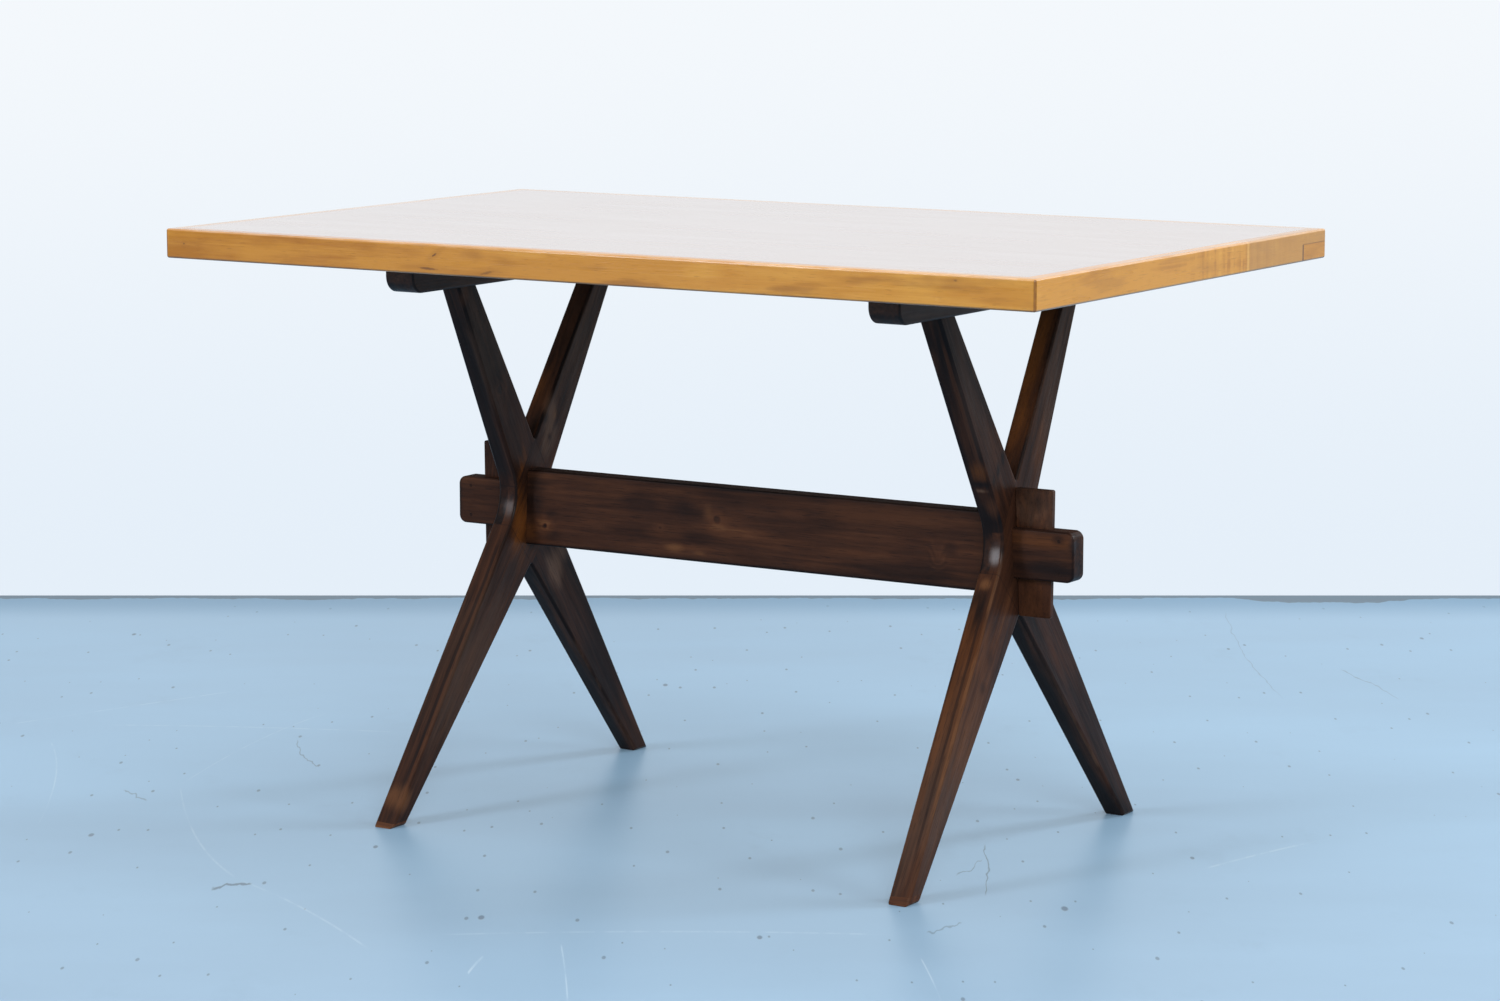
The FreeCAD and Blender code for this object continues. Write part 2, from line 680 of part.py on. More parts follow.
def make_lippings():
    blank = top_blank()
    pieces = []
    for label, along_x, sign, has_patch in (
        ("lipping_front", True, "-", False),
        ("lipping_back", True, "", True),
        ("lipping_left", False, "-", False),
        ("lipping_right", False, "", True),
    ):
        pieces.append(part_of(blank, lipping_region(label + "_region", along_x, sign, has_patch), label))
    pieces.append(part_of(blank, patch_region("lipping_patch_region"), "lipping_patch"))
    return pieces


def make_layer(label, bottom, thickness, bored):
    """One layer of the top between its edge strips, with the screws' holes where they reach it."""
    body = new_body(label)
    layer = new_sketch(body, "XY_Plane", offset=bottom)
    draw_rectangle(
        layer, f"-({HALF_LENGTH} - lipping_width)", f"{HALF_LENGTH} - lipping_width",
        f"-({HALF_WIDTH} - lipping_width)", f"{HALF_WIDTH} - lipping_width",
    )
    add_pad(body, layer, thickness)
    if bored:
        holes = new_sketch(body, "XY_Plane", offset=bottom)
        for sign in ("", "-"):
            across = f"trestle_shift + {sign}({CLEAT_PLACE})"
            for place in SCREW_ROW:
                draw_circle(holes, across, place, "screw_radius + screw_fit")
        depth = f"{SCREW_SEAT} + screw_length + screw_fit - ({bottom})"
        add_pocket(body, holes, depth, towards_normal=True)
    return body


def make_top():
    core_bottom = f"{TOP_BOTTOM} + veneer_thickness"
    core_thickness = "top_thickness - veneer_thickness * 2"
    return make_lippings() + [
        make_layer("underside_veneer", TOP_BOTTOM, "veneer_thickness", True),
        make_layer("top_panel", core_bottom, core_thickness, True),
        make_layer("top_veneer", "table_height - veneer_thickness", "veneer_thickness", False),
    ]


# ---------------------------------------------------------------- build, check and write

sub_parts = make_top() + make_legs() + [
    make_cleat("cleat_right", 1),
    make_cleat("cleat_left", -1),
    make_screws("cleat_screws_right", 1),
    make_screws("cleat_screws_left", -1),
    make_stretcher(),
    make_pins("tenon_pins_right", 1),
    make_pins("tenon_pins_left", -1),
    make_key("key_right", 1),
    make_key("key_left", -1),
]
doc.recompute()

for thing in doc.Objects:
    if "Invalid" in thing.State or "Error" in thing.State:
        raise RuntimeError(f"{thing.Label} failed: {thing.State}")
for piece in sub_parts:
    if piece.Shape.isNull() or not piece.Shape.isValid() or not piece.Shape.Solids:
        raise RuntimeError(f"{piece.Label} has no valid solid")

os.makedirs("parts", exist_ok=True)
for piece in sub_parts:
    piece.Shape.exportStep(f"parts/{piece.Label}.step")
    box = piece.Shape.optimalBoundingBox()
    extent = f"{box.XLength:8.2f} {box.YLength:8.2f} {box.ZLength:8.2f}"
    print(f"{piece.Label:22} {len(piece.Shape.Solids)} solids {extent}")
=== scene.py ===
import math

import bpy
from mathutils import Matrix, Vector


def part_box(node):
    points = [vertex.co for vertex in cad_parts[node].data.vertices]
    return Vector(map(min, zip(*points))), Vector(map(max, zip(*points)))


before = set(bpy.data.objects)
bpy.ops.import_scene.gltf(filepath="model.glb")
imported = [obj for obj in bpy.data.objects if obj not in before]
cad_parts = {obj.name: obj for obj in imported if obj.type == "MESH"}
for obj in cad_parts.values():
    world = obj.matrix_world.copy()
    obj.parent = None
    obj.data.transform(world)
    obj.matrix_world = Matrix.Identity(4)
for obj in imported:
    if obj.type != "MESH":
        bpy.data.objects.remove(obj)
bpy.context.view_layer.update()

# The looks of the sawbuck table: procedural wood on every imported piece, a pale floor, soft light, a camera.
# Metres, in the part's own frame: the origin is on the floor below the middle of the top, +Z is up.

scene = bpy.context.scene
scene.view_settings.view_transform = "Standard"

MM = 0.001

# ---------------------------------------------------------------- camera

CAMERA_PLACE = (2.6717, -4.2659, 1.1660)
CAMERA_TILT = math.radians(81.34)
CAMERA_TURN = math.radians(32.0)
FOCAL_LENGTH = 99.24
SENSOR_WIDTH = 36.0

camera_data = bpy.data.cameras.new("camera")
camera_data.sensor_fit = "HORIZONTAL"
camera_data.sensor_width = SENSOR_WIDTH
camera_data.lens = FOCAL_LENGTH
camera = bpy.data.objects.new("camera", camera_data)
camera.location = CAMERA_PLACE
camera.rotation_euler = (CAMERA_TILT, 0.0, CAMERA_TURN)
scene.collection.objects.link(camera)
scene.camera = camera

# ---------------------------------------------------------------- short calls for shader nodes


class Shader:
    """One node tree, with calls that add a node, join its inputs and return its output."""

    def __init__(self, tree):
        self.tree = tree
        self.tree.nodes.clear()

    def add(self, kind, **settings):
        made = self.tree.nodes.new(kind)
        for name, value in settings.items():
            setattr(made, name, value)
        return made

    def join(self, socket, value):
        if isinstance(value, bpy.types.NodeSocket):
            self.tree.links.new(value, socket)
        elif isinstance(value, tuple) and len(value) == 3 and socket.type == "RGBA":
            socket.default_value = (*value, 1.0)
        else:
            socket.default_value = value

    def math(self, operation, *values):
        made = self.add("ShaderNodeMath", operation=operation)
        for socket, value in zip(made.inputs, values):
            self.join(socket, value)
        return made.outputs[0]

    def vector(self, operation, *values, output=0):
        made = self.add("ShaderNodeVectorMath", operation=operation)
        for socket, value in zip(made.inputs, values):
            self.join(socket, value)
        return made.outputs[output]

    def mix(self, share, first, second, blend="MIX"):
        made = self.add("ShaderNodeMix", data_type="RGBA", blend_type=blend, clamp_factor=True)
        self.join(made.inputs[0], share)
        self.join(made.inputs[6], first)
        self.join(made.inputs[7], second)
        return made.outputs[2]

    def span(self, value, low, high, to_low=0.0, to_high=1.0, smooth=True):
        """Value's place between low and high, carried over to the range to_low .. to_high."""
        made = self.add("ShaderNodeMapRange", clamp=True)
        made.interpolation_type = "SMOOTHSTEP" if smooth else "LINEAR"
        for socket, number in zip(made.inputs, (value, low, high, to_low, to_high)):
            self.join(socket, number)
        return made.outputs[0]

    def noise(self, place, scale=1.0, detail=2.0, roughness=0.5, output=0):
        """Noise of about 0 to 1, or with output 1 a colour of three such noises."""
        made = self.add("ShaderNodeTexNoise")
        self.join(made.inputs["Vector"], place)
        self.join(made.inputs["Scale"], scale)
        self.join(made.inputs["Detail"], detail)
        self.join(made.inputs["Roughness"], roughness)
        return made.outputs[output]

    def split(self, vector):
        made = self.add("ShaderNodeSeparateXYZ")
        self.join(made.inputs[0], vector)
        return made.outputs

    def place(self):
        return self.add("ShaderNodeTexCoord").outputs["Object"]

    def turned(self, vector, origin=(0, 0, 0), turn=(0, 0, 0), scale=(1, 1, 1)):
        """A point's coordinates in a frame at origin, turned by Euler angles, in units of scale."""
        made = self.add("ShaderNodeMapping", vector_type="TEXTURE")
        self.join(made.inputs["Vector"], vector)
        self.join(made.inputs["Location"], origin)
        self.join(made.inputs["Rotation"], turn)
        self.join(made.inputs["Scale"], scale)
        return made.outputs[0]

    def distance(self, vector, origin, radii, turn=(0, 0, 0)):
        """Distance from a point in units of its three radii: under 1 inside that ellipsoid."""
        return self.vector("LENGTH", self.turned(vector, origin, turn, radii), output=1)

    def ramp(self, value, stops):
        made = self.add("ShaderNodeValToRGB")
        band = made.color_ramp
        while len(band.elements) < len(stops):
            band.elements.new(0.5)
        for element, (position, colour) in zip(band.elements, stops):
            element.position = position
            element.color = (*colour, 1.0)
        self.join(made.inputs[0], value)
        return made.outputs[0]

    def bump(self, height, strength, distance, normal=None):
        made = self.add("ShaderNodeBump")
        self.join(made.inputs["Height"], height)
        self.join(made.inputs["Strength"], strength)
        self.join(made.inputs["Distance"], distance)
        if normal is not None:
            self.join(made.inputs["Normal"], normal)
        return made.outputs[0]

    def surface(self, colour, roughness, normal, **sockets):
        """The Principled surface and the material's output."""
        shader = self.add("ShaderNodeBsdfPrincipled")
        self.join(shader.inputs["Base Color"], colour)
        self.join(shader.inputs["Roughness"], roughness)
        if normal is not None:
            self.join(shader.inputs["Normal"], normal)
        for name, value in sockets.items():
            self.join(shader.inputs[name.replace("_", " ")], value)
        output = self.add("ShaderNodeOutputMaterial")
        self.tree.links.new(shader.outputs[0], output.inputs[0])


def new_material(name):
    material = bpy.data.materials.new(name)
    material.use_nodes = True
    return material, Shader(material.node_tree)


# ---------------------------------------------------------------- wood

NOISE_REACH = (0.28, 0.72)
SEED_STEP = (3.7, 1.3, 2.1)


class Grain:
    """The parts that every wood here is mixed from, in a frame whose X runs along the grain.

    turn is the Euler angles of that frame, or a call that makes its coordinates from the piece's own.
    shorten is above 1 for a short piece, whose figure changes sooner along the grain.
    """

    def __init__(self, shader, turn, seed, pith, ring_width, bends=(), shorten=1.0):
        self.shader = shader
        self.shorten = shorten
        self.place = shader.place()
        self.local = turn(shader, self.place) if callable(turn) else shader.turned(self.place, turn=turn)
        self.seed = tuple(seed * step for step in SEED_STEP)
        wander = self.fibres((2.6, 16.0, 16.0), detail=2.0)
        _, across, depth = shader.split(self.local)
        side = shader.math("SUBTRACT", across, pith[0])
        side = shader.math("MULTIPLY", side, side)
        height = shader.math("SUBTRACT", depth, pith[1])
        height = shader.math("MULTIPLY", height, height)
        radius = shader.math("SQRT", shader.math("ADD", side, height))
        radius = shader.math("MULTIPLY_ADD", wander, 0.03, radius)
        for distance, lift in bends:
            radius = shader.math("ADD", radius, shader.span(distance, 0.0, 3.2, lift, 0.0))
        turns = shader.math("MULTIPLY", radius, 2 * math.pi / ring_width)
        self.rings = shader.math("MULTIPLY_ADD", shader.math("SINE", turns), 0.5, 0.5)

    def fibres(self, scale, detail=2.0, roughness=0.5):
        """Noise with one scale along the grain and others across it, spread over about 0 to 1."""
        shader = self.shader
        scale = (scale[0] * self.shorten, scale[1], scale[2])
        stretched = shader.vector("MULTIPLY_ADD", self.local, scale, self.seed)
        value = shader.noise(stretched, 1.0, detail, roughness)
        return shader.span(value, *NOISE_REACH, smooth=False)

    def figure(self, tone, layers):
        """tone with layers of such noise added, each (scale, detail, roughness, share)."""
        for scale, detail, roughness, share in layers:
            tone = self.shader.math("MULTIPLY_ADD", self.fibres(scale, detail, roughness), share, tone)
        return tone


def normal_of(shader):
    """The surface's own direction."""
    return shader.add("ShaderNodeTexCoord").outputs["Normal"]


def arris(shader):
    """1 on a rounded edge, 0 on the flat faces beside it, for a piece whose faces lie along the axes."""
    x, y, z = shader.split(shader.vector("ABSOLUTE", normal_of(shader)))
    largest = shader.math("MAXIMUM", shader.math("MAXIMUM", x, y), z)
    return shader.span(largest, 0.995, 0.86)


def leaning_arris(shader, lean):
    """1 on a trestle's rounded long edges, 0 on its faces and on its edge faces, which may be curved."""
    across = shader.math("ABSOLUTE", shader.vector("DOT_PRODUCT", normal_of(shader), lean, output=1))
    return shader.math("MULTIPLY", shader.span(across, 0.05, 0.35), shader.span(across, 0.995, 0.9))


def upward(shader):
    """1 on faces that look straight up."""
    _, _, up = shader.split(normal_of(shader))
    return shader.span(up, 0.80, 0.97)


def upright_corner(shader):
    """1 on the rounded upright corners of a box-shaped piece."""
    x, y, _ = shader.split(shader.vector("ABSOLUTE", normal_of(shader)))
    return shader.span(shader.math("MULTIPLY", x, y), 0.12, 0.34)


# ---------------------------------------------------------------- the top

ALONG_X = (0.0, 0.0, 0.0)
ALONG_Y = (0.0, 0.0, math.pi / 2)

_, top_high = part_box("top_veneer")
front_low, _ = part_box("lipping_front")
_, right_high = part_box("lipping_right")
TOP_FACE = top_high.z
TOP_UNDERSIDE = front_low.z
FRONT_FACE = front_low.y
RIGHT_FACE = right_high.x
PATCH_LOW, PATCH_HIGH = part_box("lipping_patch")

HONEY = {
    "deep": (0.270, 0.100, 0.016),
    "dark": (0.450, 0.183, 0.025),
    "middle": (0.590, 0.270, 0.043),
    "light": (0.690, 0.352, 0.070),
    "dull": (0.440, 0.225, 0.085),
    "pale": (0.740, 0.460, 0.190),
    "peach": (0.820, 0.540, 0.310),
    "grime_and_shade": (0.120, 0.060, 0.035),
    "corner": (0.150, 0.050, 0.022),
    "mark": (0.085, 0.036, 0.022),
}
EDGE_FIGURE = (
    ((5.0, 55.0, 55.0), 3.0, 0.5, 0.26),
    ((14.0, 420.0, 420.0), 2.0, 0.5, 0.20),
    ((9.0, 26.0, 26.0), 3.0, 0.6, 0.44),
)

# Places along the right-hand strip, in metres from its middle: where its upright streaks set in and where
# they weaken, its pale stripe, and where it turns duller.
STREAKS_START = (-0.06, 0.06)
STREAKS_WEAKEN = (0.22, 0.31)
STRIPE_PLACE = 0.154
DULL_START = (STRIPE_PLACE, STRIPE_PLACE + 8 * MM)

HIGHLIGHT_AND_WEAR_HEIGHTS = (TOP_FACE - 4.2 * MM, TOP_FACE - 1.6 * MM)
PAINTED_SHADE_HEIGHTS = (TOP_UNDERSIDE + 0.8 * MM, TOP_UNDERSIDE + 2.8 * MM)
THROUGH_THE_EDGE = 1.0
# Marks on the front edge strip: x, z, half length, half height, tilt in degrees, depth of colour.
FRONT_MARKS = [
    (-571.5, 717.8, 1.6, 1.6, 0, 0.7),
    (-195.0, 722.0, 4.6, 1.5, -32, 0.9),
    (-203.8, 705.8, 15.0, 2.0, 2, 0.75),
    (-119.5, 705.0, 12.0, 2.0, -14, 0.55),
    (501.7, 728.5, 3.0, 1.5, 0, 0.5),
]


def lipping_material(
    name, turn, seed, marks=(), end_grain=False, seam=False, smear=0.30, lift=(0.0, 0.0),
    stain=(1.0, 1.0, 1.0), lacquer=0.9,
):
    """Lacquered orange-brown edge wood.

    marks are its knots and dents. end_grain adds what the right-hand strip has, and seam the dark joint
    round the block in that strip. smear is how strong the darker smears are. lift is painted light: how much
    lighter the colour is painted at its -X and at its +X end. stain multiplies its colour, and lacquer is the
    weight of its coat.
    """
    material, s = new_material(name)
    grain = Grain(s, turn, seed, pith=(0.055, 0.69), ring_width=0.0075)
    tone = grain.figure(s.math("MULTIPLY", grain.rings, 0.10), EDGE_FIGURE)
    along, depth_in, height = s.split(grain.place)
    # Painted light: lift makes the colour darker or lighter towards each end, by how the light falls.
    tone = s.math("ADD", tone, s.span(along, -RIGHT_FACE, RIGHT_FACE, *lift, smooth=False))
    if end_grain:
        weaker = s.span(depth_in, *STREAKS_WEAKEN, 1.0, 0.4)
        within = s.math("MULTIPLY", s.span(depth_in, *STREAKS_START), weaker)
        streaks = s.noise(s.vector("MULTIPLY", grain.place, (8.0, 85.0, 7.0)), 1.0, 3.0, 0.6)
        tone = s.math("ADD", tone, s.math("MULTIPLY", within, s.span(streaks, 0.3, 0.7, -0.30, 0.24)))
    colour = s.ramp(tone, [
        (0.10, HONEY["dark"]), (0.42, HONEY["middle"]), (0.62, HONEY["middle"]), (0.95, HONEY["light"]),
    ])
    flecks = grain.fibres((60.0, 900.0, 900.0), 1.0)
    colour = s.mix(s.span(flecks, 0.80, 0.96, 0.0, 0.30), colour, HONEY["deep"])
    smears = grain.fibres((6.0, 70.0, 30.0), 3.0, 0.6)
    colour = s.mix(s.span(smears, 0.58, 0.95, 0.0, smear), colour, HONEY["deep"])
    if end_grain:
        far = s.math("MULTIPLY", s.span(depth_in, *DULL_START), 0.66)
        colour = s.mix(far, colour, HONEY["dull"])
        stripe = s.math("ABSOLUTE", s.math("SUBTRACT", depth_in, STRIPE_PLACE))
        colour = s.mix(s.span(stripe, 1.0 * MM, 4.0 * MM, 0.40, 0.0), colour, HONEY["pale"])
    if seam:
        upright = s.math("ABSOLUTE", s.math("SUBTRACT", depth_in, PATCH_LOW.y))
        upright = s.span(upright, 0.9 * MM, 2.6 * MM, 0.9, 0.0)
        upright = s.math("MULTIPLY", upright, s.math("LESS_THAN", height, PATCH_HIGH.z))
        level = s.math("ABSOLUTE", s.math("SUBTRACT", height, PATCH_HIGH.z))
        level = s.span(level, 0.2 * MM, 0.9 * MM, 0.5, 0.0)
        level = s.math("MULTIPLY", level, s.math("GREATER_THAN", depth_in, PATCH_LOW.y))
        colour = s.mix(s.math("MAXIMUM", upright, level), colour, HONEY["grime_and_shade"])
    for x, z, half_length, half_height, tilt, depth in marks:
        radii = (half_length * MM, THROUGH_THE_EDGE, half_height * MM)
        turned = (0.0, math.radians(tilt), 0.0)
        away = s.distance(grain.place, (x * MM, FRONT_FACE, z * MM), radii, turned)
        ragged = s.math("MULTIPLY_ADD", s.noise(grain.place, 420.0, 2.0), 0.9, away)
        colour = s.mix(s.span(ragged, 0.75, 1.5, depth, 0.0), colour, HONEY["mark"])
        halo = s.span(away, 1.0, 4.5, depth * 0.28, 0.0)
        colour = s.mix(halo, colour, HONEY["deep"])
    colour = s.mix(1.0, colour, stain, "MULTIPLY")
    edge = arris(s)
    # Painted highlight with some wear: the top arris is lightened to peach.
    near_top = s.span(height, *HIGHLIGHT_AND_WEAR_HEIGHTS)
    near_bottom = s.span(height, *PAINTED_SHADE_HEIGHTS, 1.0, 0.0)
    highlight_breakup = s.noise(s.vector("MULTIPLY", grain.place, (22.0, 22.0, 60.0)), 1.0, 3.0)
    worn = s.math("MULTIPLY", edge, s.span(highlight_breakup, 0.30, 0.60, 0.20, 0.60))
    colour = s.mix(s.math("MULTIPLY", worn, near_top), colour, HONEY["peach"])
    # Painted shade: the colour is darkened in a thin line along the strip's bottom edge.
    grime_and_shade = s.math("MULTIPLY", near_bottom, s.span(s.noise(grain.place, 22.0, 2.0), 0.25, 0.6, 0.45, 0.85))
    colour = s.mix(grime_and_shade, colour, HONEY["grime_and_shade"])
    handled = s.span(s.noise(grain.place, 60.0, 2.0), 0.3, 0.6, 0.55, 0.85)
    handled = s.math("MULTIPLY", upright_corner(s), handled)
    colour = s.mix(handled, colour, HONEY["corner"])
    height_map = s.math("MULTIPLY_ADD", grain.rings, 0.4, grain.fibres((12.0, 700.0, 700.0), 2.0))
    normal = s.bump(height_map, 0.12, 0.0006)
    normal = s.bump(s.noise(grain.place, 26.0, 2.0), 0.10, 0.004, normal)
    roughness = s.span(grain.fibres((5.0, 60.0, 60.0)), 0.0, 1.0, 0.24, 0.38)
    s.surface(
        colour, roughness, normal, IOR=1.48, Specular_IOR_Level=0.30, Coat_Weight=lacquer,
        Coat_Roughness=0.10, Coat_IOR=1.5,
    )
    return material


VENEER_TOP = ((0.405, 0.268, 0.205), (0.437, 0.300, 0.238), (0.462, 0.325, 0.262))
VENEER_UNDERSIDE = ((0.40, 0.24, 0.12), (0.50, 0.33, 0.18), (0.58, 0.41, 0.25))
VENEER_FLECK = (0.26, 0.14, 0.09)
VENEER_FIGURE = (
    ((3.0, 34.0, 34.0), 3.0, 0.5, 0.40),
    ((7.0, 200.0, 200.0), 2.0, 0.5, 0.14),
    ((2.0, 7.0, 7.0), 1.0, 0.5, 0.30),
)


def veneer_material(name, seed, tones):
    """Pale honey veneer under clear lacquer, its grain along the table. tones run from dark to light."""
    material, s = new_material(name)
    grain = Grain(s, ALONG_X, seed, pith=(0.12, 0.62), ring_width=0.011)
    tone = grain.figure(s.math("MULTIPLY", grain.rings, 0.12), VENEER_FIGURE)
    colour = s.ramp(tone, list(zip((0.12, 0.5, 0.9), tones)))
    flecks = grain.fibres((70.0, 520.0, 520.0), 1.0)
    colour = s.mix(s.span(flecks, 0.84, 0.98, 0.0, 0.06), colour, VENEER_FLECK)
    normal = s.bump(grain.fibres((6.0, 300.0, 300.0), 1.0), 0.0015, 0.0002)
    waves = s.noise(s.vector("MULTIPLY", grain.place, (2.0, 5.0, 5.0)), 1.0, 1.0)
    normal = s.bump(waves, 0.004, 0.004, normal)
    roughness = s.span(grain.fibres((4.0, 20.0, 20.0)), 0.0, 1.0, 0.23, 0.28)
    s.surface(
        colour, roughness, normal, IOR=1.5, Specular_IOR_Level=0.5, Coat_Weight=1.0, Coat_Roughness=0.17,
        Coat_IOR=1.5,
    )
    return material


# ---------------------------------------------------------------- dark stained wood

STAIN = {
    "night": (0.0088, 0.0060, 0.0062),
    "black": (0.0150, 0.0076, 0.0058),
    "dark": (0.0310, 0.0127, 0.0078),
    "brown": (0.0510, 0.0196, 0.0105),
    "red": (0.0860, 0.0315, 0.0145),
    "tan": (0.1700, 0.0700, 0.0280),
    "glow": (0.1450, 0.0470, 0.0120),
    # The amber orange below is painted bounce light on a trestle's face beside the stretcher.
    "painted_bounce_amber": (0.3700, 0.1080, 0.0150),
    "dusty": (0.1230, 0.0670, 0.0430),
    "grey": (0.0670, 0.0430, 0.0345),
}

STAINED_FIGURE = (
    ((4.5, 16.0, 16.0), 3.0, 0.6, 0.34),
    ((3.0, 60.0, 60.0), 2.0, 0.5, 0.18),
    ((7.0, 210.0, 210.0), 3.0, 0.5, 0.18),
    ((9.0, 34.0, 34.0), 4.0, 0.65, 0.16),
)

# The trestles' shape: where their middle planes stand and how they lean, the half-lap's shoulders, the legs'
# slopes. Then the stretcher's edges, and the front faces of stretcher and keys.
BASE_CENTRE = 16.8 * MM
FOOT_SPREAD = 365.6 * MM
SPLAY = math.radians(2.41)
HALF_LEG = 14 * MM
LAP_TOP = 454 * MM
LAP_BOTTOM = 292 * MM
LAP_CORNER = (60.5 * MM, 360.7 * MM)
CROSSING_HEIGHT = 373 * MM
SOLE_CENTRE = 271.7 * MM
ARM_CENTRE = 153.7 * MM
ARM_TOP = 661.5 * MM
BEND_REACH = 60 * MM
LOWER_SLOPE = SOLE_CENTRE / CROSSING_HEIGHT
UPPER_SLOPE = ARM_CENTRE / (ARM_TOP - CROSSING_HEIGHT)
STRETCHER_BOTTOM = 319 * MM
STRETCHER_TOP = 415.5 * MM
STRETCHER_FACE = -14 * MM
KEY_FACE = -4 * MM


def lap_seam(s, place):
    """1 on the thin dark joint lines of a trestle's half-lap."""
    _, y, z = s.split(place)
    side = s.math("ABSOLUTE", y)
    lines = []
    for tip, sign in ((LAP_TOP, 1.0), (LAP_BOTTOM, -1.0)):
        slope = abs(tip - LAP_CORNER[1]) / LAP_CORNER[0]
        offset = s.math("SUBTRACT", z, tip)
        offset = s.math("MULTIPLY_ADD", side, sign * slope, offset)
        offset = s.math("MULTIPLY", s.math("ABSOLUTE", offset), 1 / math.hypot(1, slope))
        lines.append(s.span(offset, 0.3 * MM, 1.1 * MM, 1.0, 0.0))
    within = s.span(side, LAP_CORNER[0], LAP_CORNER[0] + 1 * MM, 1.0, 0.0)
    return s.math("MULTIPLY", s.math("MAXIMUM", *lines), within)


def along_leg(foot_side):
    """Coordinates whose X runs along a leg, through its bend at the crossing. Its foot is at +Y or -Y."""

    def coordinates(s, place):
        x, y, z = s.split(place)
        over = s.math("SMOOTH_MAX", s.math("SUBTRACT", z, CROSSING_HEIGHT), 0.0, BEND_REACH)
        middle = s.math("MULTIPLY_ADD", z, -LOWER_SLOPE, SOLE_CENTRE)
        middle = s.math("MULTIPLY_ADD", over, LOWER_SLOPE - UPPER_SLOPE, middle)
        across = s.math("MULTIPLY_ADD", middle, -foot_side, y)
        joined = s.add("ShaderNodeCombineXYZ")
        for socket, value in zip(joined.inputs, (z, across, x)):
            s.join(socket, value)
        return joined.outputs[0]

    return coordinates


